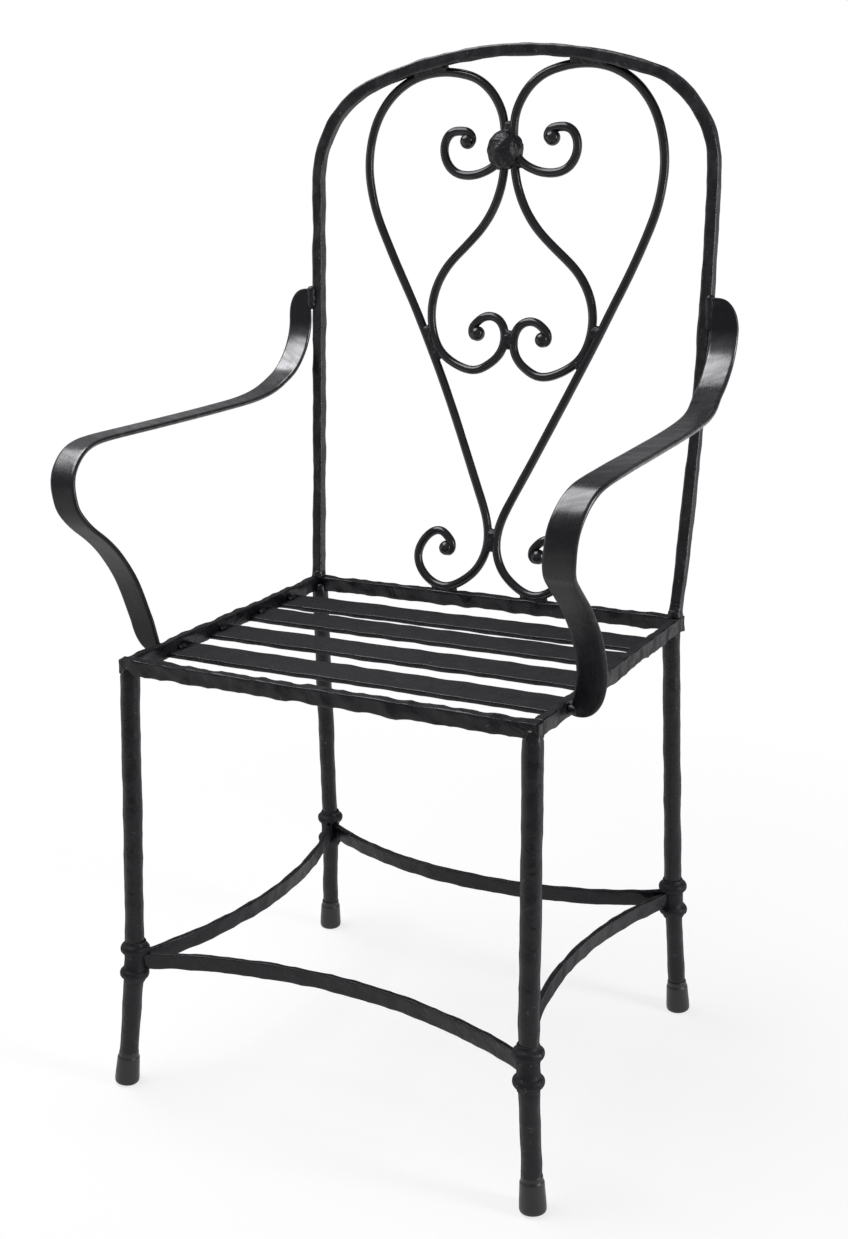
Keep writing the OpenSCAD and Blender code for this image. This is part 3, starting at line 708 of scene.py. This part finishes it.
def forge_rail(node, seed):
    """One bar of the seat frame: flat iron, hammered all over."""
    axis, past = RAILS[node]
    low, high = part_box(node)
    size = high - low
    a = (low + high) / 2
    b = a.copy()
    a[axis], b[axis] = low[axis] - past[0], high[axis] + past[1]
    line = line_between(a, b, RING_STEP)
    bm = beat_bar(
        line, UP, (size[1 - axis], size.z), RAIL_RULES, RAIL_EASING, seed,
        dent=0.016, depth=0.0016, wave=0.0011, wave_length=0.019,
    )
    finish_piece("hammered_" + node, bm, "hammered_iron", [node])


SLAT_RULES = (12, 2)
SLAT_EASING = 0.0012

# A slat's edges wander this far, in waves of these lengths and shares, and one edge unlike the other
EDGE_WANDER = 0.0018
WANDER_LENGTHS = {0.024: 1.0, 0.012: 0.25}
OTHER_EDGE = 7.7


def forge_slat(node, seed):
    """A thin flat slat with gently beaten faces and wandering edges."""
    low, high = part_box(node)
    size = high - low
    middle = (low + high) / 2
    a = Vector((low.x - INTO_NEIGHBOUR, middle.y, middle.z))
    b = Vector((high.x + INTO_NEIGHBOUR, middle.y, middle.z))
    line = line_between(a, b, RING_STEP)
    bm = beat_bar(line, UP, (size.y, size.z), SLAT_RULES, SLAT_EASING, seed, dent=0.03, depth=0.0007)
    for v in bm.verts:
        edge = (v.co.y - middle.y) / size.y * 2
        side = math.copysign(1, edge) * OTHER_EDGE
        wander = sum(
            share * noise.noise(Vector((v.co.x / length, side, seed))) for length, share in WANDER_LENGTHS.items()
        )
        v.co.y += EDGE_WANDER * wander * edge
    finish_piece("beaten_" + node, bm, "hammered_iron", [node])


for seed, node in enumerate(RAILS, 1):
    forge_rail(node, seed)
for number in range(1, 5):
    forge_slat(f"slat_{number}", seed=10 + number)


# Legs, collars, ferrules and stretchers

CORNERS = {
    "front_left": (LEFT, FRONT),
    "front_right": (RIGHT, FRONT),
    "back_left": (LEFT, BACK),
    "back_right": (RIGHT, BACK),
}


def leg_points(corner):
    """Head, knee and foot of a leg's middle line."""
    side, end = CORNERS[corner]
    inset = LEG_HEAD_INSET[end]
    head_y = SEAT_FRONT + inset if end == FRONT else SEAT_BACK - inset
    head = Vector((side * (SEAT_HALF_WIDTH - inset), head_y, SEAT_HEIGHT))
    knee = Vector((head.x + side * KNEE_LEAN[end][0], head.y + end * KNEE_LEAN[end][1], KNEE_HEIGHT))
    foot = Vector((head.x + side * FOOT_LEAN[end][0], head.y + end * FOOT_LEAN[end][1], 0))
    return head, knee, foot


def at_height(a, b, z):
    return a.lerp(b, (z - a.z) / (b.z - a.z))


LEG_SIDES = 28
LEG_INTO_RAIL = 0.0085
LEG_HEAD_GIRTHS = (0.68, 0.8, 0.93)


def forge_leg(corner, seed):
    """A round bar, bent at the knee and beaten lightly all the way down."""
    head, knee, foot = leg_points(corner)
    top = at_height(head, knee, RAIL_BOTTOM + LEG_INTO_RAIL)
    low = at_height(knee, foot, FERRULE_FLOOR)
    line = line_between(top, knee, RING_STEP) + line_between(knee, low, RING_STEP)[1:]
    places = places_along(line, TOWARDS_FRONT)
    for i, girth in enumerate(LEG_HEAD_GIRTHS):
        places[i] = places[i] @ Matrix.Diagonal((girth, girth, 1, 1))
    radius = LEG_RADIUS[CORNERS[corner][1]]
    bm = blank()
    draw_out(bm, round_start(bm, places[0], radius, LEG_SIDES), places)
    hammer(bm, seed, dent=0.022, depth=0.0007, wave=0.0005, wave_length=0.034)
    finish_piece("leg_bar_" + corner, bm, "hammered_iron", ["leg_" + corner])


SPIN_MERGE = 0.00002
COLLAR_SIDES = 48
FERRULE_SIDES = 40


def spun(outline, closed, steps, point, along):
    """An outline of radii and heights, spun about its own axis and stood at a point along a direction."""
    bm = bmesh.new()
    verts = [bm.verts.new((r, 0, z)) for r, z in outline]
    following = verts[1:] + verts[:1] if closed else verts[1:]
    edges = [bm.edges.new(pair) for pair in zip(verts, following)]
    bmesh.ops.spin(
        bm, geom=verts + edges, cent=(0, 0, 0), axis=(0, 0, 1), angle=math.tau, steps=steps, use_merge=True
    )
    bmesh.ops.remove_doubles(bm, verts=bm.verts, dist=SPIN_MERGE)
    place = along.to_track_quat("Z", "Y").to_matrix().to_4x4()
    place.translation = point
    bmesh.ops.transform(bm, matrix=place, verts=bm.verts)
    bmesh.ops.recalc_face_normals(bm, faces=bm.faces)
    return bm


# The collar's outline from its lower end to its upper end: a bead at each side of a hollow neck
COLLAR_OUTLINE = [
    (0.0105, -0.0225), (0.0109, -0.0198), (0.0121, -0.0182), (0.0138, -0.0168), (0.0148, -0.015), (0.015, -0.013),
    (0.0148, -0.0111), (0.0138, -0.0094), (0.0121, -0.008), (0.011, -0.006), (0.0107, -0.002), (0.0107, 0.002),
    (0.011, 0.006), (0.0121, 0.008), (0.0138, 0.0094), (0.0148, 0.0111), (0.015, 0.013), (0.0148, 0.015),
    (0.0138, 0.0168), (0.0121, 0.0182), (0.0109, 0.0198), (0.0105, 0.0225),
]
COLLAR_INSIDE = [(0.0082, 0.0225), (0.0082, 0.012), (0.0082, 0), (0.0082, -0.012), (0.0082, -0.0225)]


def cast_collar(corner, seed):
    """A cast collar with two beads, over the leg's bend."""
    head, knee, foot = leg_points(corner)
    along = (head - knee).normalized() + (knee - foot).normalized()
    bm = spun(COLLAR_OUTLINE + COLLAR_INSIDE, True, COLLAR_SIDES, knee, along)
    hammer(bm, seed, dent=0.009, depth=0.0004, wave=0.0005, wave_length=0.012, lift=0.3)
    finish_piece("beaded_collar_" + corner, bm, "cast_collar", ["collar_" + corner], levels=1)


# The ferrule's outline from the middle of its foot, up its flared side, over its lip and into its bore
FERRULE_OUTLINE = [
    (0.0, 0.0), (0.006, 0.0), (0.0098, 0.0), (0.0112, 0.0006), (0.0121, 0.0018), (0.0124, 0.0036), (0.0122, 0.009),
    (0.0118, 0.016), (0.0114, 0.023), (0.0112, 0.0272), (0.0111, 0.0282), (0.0107, 0.029), (0.0102, 0.0294),
    (0.01, 0.0302), (0.01, 0.0322), (0.0099, 0.0336), (0.0096, 0.0344), (0.0092, 0.0345), (0.0089, 0.0338),
    (0.0086, 0.03), (0.0086, 0.02), (0.0086, 0.0062), (0.006, 0.0058), (0.0, 0.0058),
]


def mould_ferrule(corner):
    """A flared rubber ferrule with a stepped neck and a rolled lip, cut level where it stands."""
    _, knee, foot = leg_points(corner)
    bm = spun(FERRULE_OUTLINE, False, FERRULE_SIDES, foot, knee - foot)
    for v in bm.verts:
        v.co.z = max(0.0, v.co.z)
    finish_piece("rubber_ferrule_" + corner, bm, "ferrule_rubber", ["ferrule_" + corner], levels=1)


for number, corner in enumerate(CORNERS):
    forge_leg(corner, seed=20 + number)
    cast_collar(corner, seed=30 + number)
    mould_ferrule(corner)


# Each stretcher's two corners and how far it bows
STRETCHERS = {
    "stretcher_front": ("front_left", "front_right", 0.047),
    "stretcher_right": ("front_right", "back_right", 0.042),
    "stretcher_back": ("back_right", "back_left", 0.057),
    "stretcher_left": ("back_left", "front_left", 0.042),
}
STRETCHER_STOP = 0.004
STRETCHER_RULES = (2, 6)
STRETCHER_EASING = 0.0011


def forge_stretcher(node, seed):
    """A flat bar on edge, bowed inwards in an arc between two collars."""
    start, end, bow = STRETCHERS[node]
    a = leg_points(start)[1]
    b = leg_points(end)[1]
    span = (b - a).length
    radius = (span * span / 4 + bow * bow) / (2 * bow)
    half_turn = math.asin(span / 2 / radius)
    along = (b - a).normalized()
    inward = UP.cross(along)
    count = round(span / RING_STEP)
    line = []
    for i in range(count + 1):
        turn = half_turn * (2 * i / count - 1)
        bowed = inward * (bow - radius + radius * math.cos(turn))
        line.append((a + b) / 2 + along * (radius * math.sin(turn)) + bowed)
    line = [p for p in line if min((p - a).length, (p - b).length) > STRETCHER_STOP]
    bm = beat_bar(
        line, UP, (STRETCHER_THICKNESS, STRETCHER_HEIGHT), STRETCHER_RULES, STRETCHER_EASING, seed,
        dent=0.018, depth=0.0008, wave=0.0006, wave_length=0.022,
    )
    finish_piece("hammered_" + node, bm, "hammered_iron", [node])


for seed, node in enumerate(STRETCHERS, 51):
    forge_stretcher(node, seed)


# The back

POST_STEPS = 120
SHOULDER_STEPS = 40
CROWN_STEPS = 45
HOOP_RULES = (4, 4)
HOOP_EASING = 0.0026
POST_DEPTH = 0.001


def back_depth(height):
    share = height / HOOP_HEIGHT
    return SEAT_BACK - POST_INSET + BACK_LEAN * share + 4 * POST_HOLLOW * share * (1 - share)


def on_back(x, height):
    return Vector((x, back_depth(height), SEAT_HEIGHT + height))


def hoop_line():
    """The middle line of the posts and hoop: two posts, two tight shoulders and a flatter crown."""
    crown_centre = HOOP_HEIGHT - CROWN_RADIUS
    shoulder_x = HOOP_HALF_WIDTH - SHOULDER_RADIUS
    spring = crown_centre + math.sqrt((CROWN_RADIUS - SHOULDER_RADIUS) ** 2 - shoulder_x**2)
    shoulder_turn = math.atan2(spring - crown_centre, shoulder_x)
    half = []
    for i in range(POST_STEPS):
        height = spring * i / POST_STEPS
        half.append((HOOP_HALF_WIDTH - POST_SPLAY * (1 - height / spring) ** 2, height))
    for i in range(SHOULDER_STEPS):
        turn = shoulder_turn * i / SHOULDER_STEPS
        half.append((shoulder_x + SHOULDER_RADIUS * math.cos(turn), spring + SHOULDER_RADIUS * math.sin(turn)))
    for i in range(CROWN_STEPS):
        turn = shoulder_turn + (math.pi / 2 - shoulder_turn) * i / CROWN_STEPS
        half.append((CROWN_RADIUS * math.cos(turn), crown_centre + CROWN_RADIUS * math.sin(turn)))
    one_half = [on_back(x, h) for x, h in half]
    other_half = [on_back(-x, h) for x, h in reversed(half)]
    return one_half + [on_back(0, HOOP_HEIGHT)] + other_half


def forge_hoop(seed):
    """Both posts and the hoop in one square bar, its corners beaten soft."""
    bm = beat_bar(
        hoop_line(), TOWARDS_FRONT, (HOOP_BAR, HOOP_BAR), HOOP_RULES, HOOP_EASING, seed,
        dent=0.018, depth=0.0007, wave=0.0008, wave_length=0.028,
    )
    for v in bm.verts:
        v.co.z = max(v.co.z, SEAT_HEIGHT - POST_DEPTH)
    finish_piece("hammered_back_hoop", bm, "hammered_iron", ["back_hoop"], finish="back_bar")


forge_hoop(seed=61)


def rings_from(bm, ring):
    """The bar's rings in order, from the one given at its end."""
    rings = []
    seen = set(ring)
    while ring:
        rings.append(ring)
        following = {e.other_vert(v) for v in ring for e in v.link_edges} - seen
        seen |= following
        ring = list(following)
    return rings


FLAT = 0.9999
FAN_FACES = 3


def end_ring(bm):
    """The ring at one end of a bar, where the flat cap is a fan of triangles about one point."""
    hub = max(bm.verts, key=lambda v: len(v.link_faces))
    flat = [f for f in hub.link_faces if sum(f.normal.dot(g.normal) > FLAT for g in hub.link_faces) > FAN_FACES]
    return list({v for f in flat for v in f.verts})


def smooth_line(points, step):
    """A smooth line through every point, with new points about a step apart."""
    line = []
    last = len(points) - 1
    for i in range(last):
        a, b, c, d = points[max(i - 1, 0)], points[i], points[i + 1], points[min(i + 2, last)]
        count = max(1, round((c - b).length / step))
        for k in range(count):
            t = k / count
            bend = 2 * a - 5 * b + 4 * c - d
            swing = 3 * b - a - 3 * c + d
            line.append(0.5 * (2 * b + (c - a) * t + bend * t**2 + swing * t**3))
    line.append(points[last])
    return line


ROD_STEP = 0.0025
KINK_REACH = 0.011
KINK_PASSES = 4
BLUR_SPAN = 2.5


def blurred(points, reach):
    """The points, each one averaged with its neighbours along the line."""
    span = round(BLUR_SPAN * reach / ROD_STEP)
    shares = [math.exp(-0.5 * (i * ROD_STEP / reach) ** 2) for i in range(-span, span + 1)]
    first = [points[0] * 2 - points[min(i, len(points) - 1)] for i in range(span, 0, -1)]
    after = [points[-1] * 2 - points[max(-1 - i, -len(points))] for i in range(1, span + 1)]
    whole = first + points + after
    total = sum(shares)
    return [
        sum((p * share for p, share in zip(whole[i : i + len(shares)], shares)), Vector()) / total
        for i in range(len(points))
    ]


def without_kinks(points, reach):
    """The line with its small kinks eased out and its bends kept."""
    left_over = points
    for _ in range(KINK_PASSES):
        left_over = [p - q for p, q in zip(left_over, blurred(left_over, reach))]
    return [p - q for p, q in zip(points, left_over)]


TAIL_STEPS = 6
TAIL_INWARD = 0.35
TAIL_THINNING = 0.3


def tail_up(line):
    """A plain end runs on, tapering, into the tie above it: points and girths."""
    along = (line[0] - line[1]).normalized()
    points, girths = [], []
    for i in range(1, TAIL_STEPS + 1):
        share = i / TAIL_STEPS
        point = line[0] + along * (ROD_STEP * i)
        point.x -= line[0].x * TAIL_INWARD * share**2
        points.append(point)
        girths.append(1 - TAIL_THINNING * share)
    return points, girths


KNOB_RINGS = 8
KNOB_END = 0.97
KNOB_TIP = 0.8


def knob_middle(rings):
    """The middle of the knob that a bar's first rings make."""
    tip, next_in = middle_of(rings[0]), middle_of(rings[1])
    face = sum(((a.co - tip).cross(b.co - tip) for a, b in zip(rings[0], rings[0][1:])), Vector())
    outward = face.normalized()
    if outward.dot(tip - next_in) < 0:
        outward = -outward
    return tip - outward * KNOB_RADIUS * KNOB_END


HOOK_TURN = math.radians(115)
HOOK_STEPS = 14
HOOK_SINK = 0.42
HOOK_PULL = 0.55
HOOK_THINNING = 0.45


def hook_over(knob, end, before):
    """The end of a rod as it rolls over its knob and sinks into it: points and girths."""
    along = (end - before).normalized()
    inward = knob - end
    inward = (inward - along * inward.dot(along)).normalized()
    reach = (knob - end).dot(along)
    distance = (knob - end).dot(inward)
    points, girths = [], []
    for i in range(1, HOOK_STEPS + 1):
        share = i / HOOK_STEPS
        turn = HOOK_TURN * share
        radius = distance * (1 - HOOK_SINK * share)
        onward = radius * math.sin(turn) - reach * (1 - share) ** 2 * HOOK_PULL
        points.append(knob - inward * radius * math.cos(turn) + along * onward)
        girths.append(1 - HOOK_THINNING * share)
    return points, girths


def rod_course(node):
    """The middle line of a node's rod without its knobs, and the knob's middle at each end, or None."""
    shape = merged_copy(node)
    shape.normal_update()
    rings = rings_from(shape, end_ring(shape))
    knobs = []
    for _ in range(2):
        tip = middle_of(rings[0])
        girth = sum((v.co - tip).length for v in rings[0]) / len(rings[0])
        if girth < KNOB_TIP * ROD_RADIUS:
            knobs.append(knob_middle(rings))
            rings = rings[KNOB_RINGS:]
        else:
            knobs.append(None)
        rings.reverse()
    line = without_kinks(smooth_line([middle_of(ring) for ring in rings], ROD_STEP), KINK_REACH)
    shape.free()
    return line, knobs


ROD_SIDES = 16
KNOB_SIDES = 28
KNOB_ROWS = 18
rod_lines = {}


def bend_scroll(node, seed):
    """A round rod bent into its scroll. A knobbed end rolls over a small forged ball."""
    line, knobs = rod_course(node)
    first, thinned = hook_over(knobs[0], line[0], line[1]) if knobs[0] else tail_up(line)
    points, girths = first[::-1] + line, thinned[::-1] + [1.0] * len(line)
    rod_lines[node] = points
    if knobs[1]:
        hooked, thinned = hook_over(knobs[1], line[-1], line[-2])
        points, girths = points + hooked, girths + thinned
    places = [
        place @ Matrix.Diagonal((girth, girth, 1, 1))
        for place, girth in zip(places_along(points, TOWARDS_FRONT), girths)
    ]
    bm = blank()
    draw_out(bm, round_start(bm, places[0], ROD_RADIUS, ROD_SIDES), places)
    for knob in filter(None, knobs):
        bmesh.ops.create_uvsphere(
            bm,
            u_segments=KNOB_SIDES,
            v_segments=KNOB_ROWS,
            radius=KNOB_RADIUS,
            matrix=Matrix.Translation(knob),
        )
    hammer(bm, seed, dent=0.02, depth=0.0001, wave=0.00012, wave_length=0.03)
    finish_piece("bent_" + node, bm, "scroll_rod", [node])


SCROLLS = ("outer_scroll_left", "outer_scroll_right", "inner_scroll_left", "inner_scroll_right")
for seed, node in enumerate(SCROLLS, 65):
    bend_scroll(node, seed)


# Arms

STRAP_RULES = 9
STRAP_END = 0.0006
STRAP_EDGE = 0.002
BROAD_SHARE = 0.6
FLAT_ENOUGH = math.radians(50)
SQUARE_ENOUGH = math.radians(89)


def bend_strap(node):
    """A flat strap bent to its arm's line, with its own map along and across it."""
    bm = merged_copy(node)
    strap_map = bm.loops.layers.uv.new("along_strap")
    corner = bm.verts.layers.float.new("corner")
    bm.verts.index_update()
    top = max(v.co.z for v in bm.verts)
    rings = rings_from(bm, [v for v in bm.verts if v.co.z > top - STRAP_END])
    place = {}
    run = 0.0
    before = None
    for ring in rings:
        inner = min(abs(v.co.x) for v in ring)
        middle = middle_of(ring)
        at = Vector((inner, middle.y, middle.z))
        run += (at - before).length if before else 0.0
        before = at
        for v in ring:
            place[v.index] = (abs(v.co.x) - inner, run)
    for v in bm.verts:
        across = place[v.index][0]
        v[corner] = 1.0 if min(across, STRAP_WIDTH - across) < STRAP_EDGE else 0.0
    bmesh.ops.join_triangles(
        bm, faces=bm.faces, angle_face_threshold=FLAT_ENOUGH, angle_shape_threshold=SQUARE_ENOUGH
    )
    for face in bm.faces:
        for loop in face.loops:
            loop[strap_map].uv = place[loop.vert.index]
    broad = [e for e in bm.edges if abs(e.verts[0].co.x - e.verts[1].co.x) > STRAP_WIDTH * BROAD_SHARE]
    ruled = bmesh.ops.subdivide_edges(bm, edges=broad, cuts=STRAP_RULES, use_grid_fill=True)
    for item in ruled["geom_inner"]:
        if isinstance(item, bmesh.types.BMVert):
            item[corner] = 0.0
    finish_piece("bent_" + node, bm, "arm_strap", [node], levels=2)


bend_strap("arm_left")
bend_strap("arm_right")


# Welds

CROWN_TOP = SEAT_HEIGHT + HOOP_HEIGHT
WEB_REACH = 0.03
WEB_NARROWEST = 0.0006
WEB_WIDENING = 0.0019
WEB_WIDEST = 0.0044
BEAD_GIRTH = 1.02
BEAD_THINNING = 0.35
BEAD_DEPTH = 0.55


def lumps(bm):
    """The separate lumps of a skin, each as a list of its points."""
    found, seen = [], set()
    for v in bm.verts:
        if v in seen:
            continue
        seen.add(v)
        lump, open_ends = [], [v]
        while open_ends:
            at = open_ends.pop()
            lump.append(at)
            for e in at.link_edges:
                other = e.other_vert(at)
                if other not in seen:
                    seen.add(other)
                    open_ends.append(other)
        found.append(lump)
    return found


def web_between(one, one_radius, other, other_radius):
    """Beads that fill the gap between two bars where it is narrowest: places and radii."""
    gaps = []
    for p in one:
        q = min(other, key=lambda c: (c - p).length_squared)
        gaps.append((p, q, (q - p).length - one_radius - other_radius))
    narrowest = max(WEB_NARROWEST, min(gap for _, _, gap in gaps))
    beads = []
    for p, q, gap in gaps:
        share = (gap - narrowest) / WEB_WIDENING
        if share < 1 and gap < WEB_WIDEST:
            across = (q - p).normalized()
            radius = min(one_radius, other_radius) * (BEAD_GIRTH - BEAD_THINNING * share**2)
            beads.append((p + across * (BEAD_DEPTH * one_radius), radius))
            beads.append((p + across * (one_radius + gap / 2), radius))
            beads.append((q - across * (BEAD_DEPTH * other_radius), radius))
    return beads


def add_webs(bm):
    """Fills the narrow gaps between bars where a weld ties them, flush with the bars.

    A tie between two rods is its web alone. At the crown and at the rail the weld's own beads stay too.
    """
    low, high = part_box("back_rail")
    rail_y = (low.y + high.y) / 2
    rail_z = high.z - ROD_RADIUS
    rail = line_between(Vector((low.x, rail_y, rail_z)), Vector((high.x, rail_y, rail_z)), ROD_STEP)
    bars = [(line, ROD_RADIUS) for line in rod_lines.values()]
    bars += [(hoop_line(), HOOP_BAR / 2), (rail, ROD_RADIUS)]
    beads = []
    for lump in lumps(bm):
        middle = middle_of(lump)
        near = [([p for p in line if (p - middle).length < WEB_REACH], radius) for line, radius in bars]
        near = [(part, radius) for part, radius in near if part]
        for i, one in enumerate(near):
            for other in near[i + 1 :]:
                beads += web_between(*one, *other)
        if abs(middle.z - CROWN_TOP) > WEB_REACH and middle.z > low.z + WEB_REACH:
            bmesh.ops.delete(bm, geom=lump, context="VERTS")
    for place, radius in beads:
        bmesh.ops.create_icosphere(bm, subdivisions=2, radius=radius, matrix=Matrix.Translation(place))


WELD_GRID = 0.0009
RIPPLE_LENGTH = 0.0045
RIPPLE_HEIGHT = 0.0007
GRAIN_LENGTH = 0.0016
GRAIN_HEIGHT = 0.0002
WELD_CORNER = 0.35
RIPPLE_CORNER = 0.5


def melt(bm):
    """The skin melted into rounded lumps."""
    mesh = bpy.data.meshes.new("weld_blank")
    bm.to_mesh(mesh)
    bm.free()
    source = bpy.data.objects.new("weld_blank", mesh)
    bpy.context.scene.collection.objects.link(source)
    heat = source.modifiers.new("melt", "REMESH")
    heat.mode = "VOXEL"
    heat.voxel_size = WELD_GRID
    melted = source.evaluated_get(bpy.context.evaluated_depsgraph_get())
    bm = bmesh.new()
    bm.from_mesh(melted.to_mesh())
    melted.to_mesh_clear()
    bpy.data.objects.remove(source)
    bpy.data.meshes.remove(mesh)
    return bm


def run_welds(node, swell, seed, webs=False, soften=3, shrink=None):
    """The node's weld beads, melted into rounded, rippled lumps."""
    bm = merged_copy(node)
    for lump in lumps(bm) if shrink else []:
        middle = middle_of(lump)
        for v in lump:
            v.co = middle + (v.co - middle) * Vector(shrink)
    if webs:
        add_webs(bm)
    bm = melt(bm)
    for _ in range(soften):
        bmesh.ops.smooth_vert(
            bm, verts=bm.verts, factor=0.5, use_axis_x=True, use_axis_y=True, use_axis_z=True
        )
    bm.normal_update()
    start = Vector((seed, seed * 2, seed * 3))
    corner = bm.verts.layers.float.new("corner")
    for v in bm.verts:
        ripple = noise.noise(v.co / RIPPLE_LENGTH + start)
        grain = noise.noise(v.co / GRAIN_LENGTH + start)
        v.co += v.normal * (swell + RIPPLE_HEIGHT * ripple + GRAIN_HEIGHT * grain)
        v[corner] = WELD_CORNER + RIPPLE_CORNER * max(0.0, ripple)
    finish_piece("melted_" + node, bm, "weld_metal", [node])


run_welds("slat_welds", swell=0.0006, seed=81, soften=8, shrink=(1, 0.5, 0.9))
run_welds("post_welds", swell=0.0005, seed=82)
run_welds("scroll_welds", swell=0.0003, seed=83, webs=True)
run_welds("arm_welds", swell=0.0004, seed=84)


# The picture

make_camera()
make_room()
make_floor()
make_lights()
bpy.context.scene.view_settings.view_transform = "Standard"
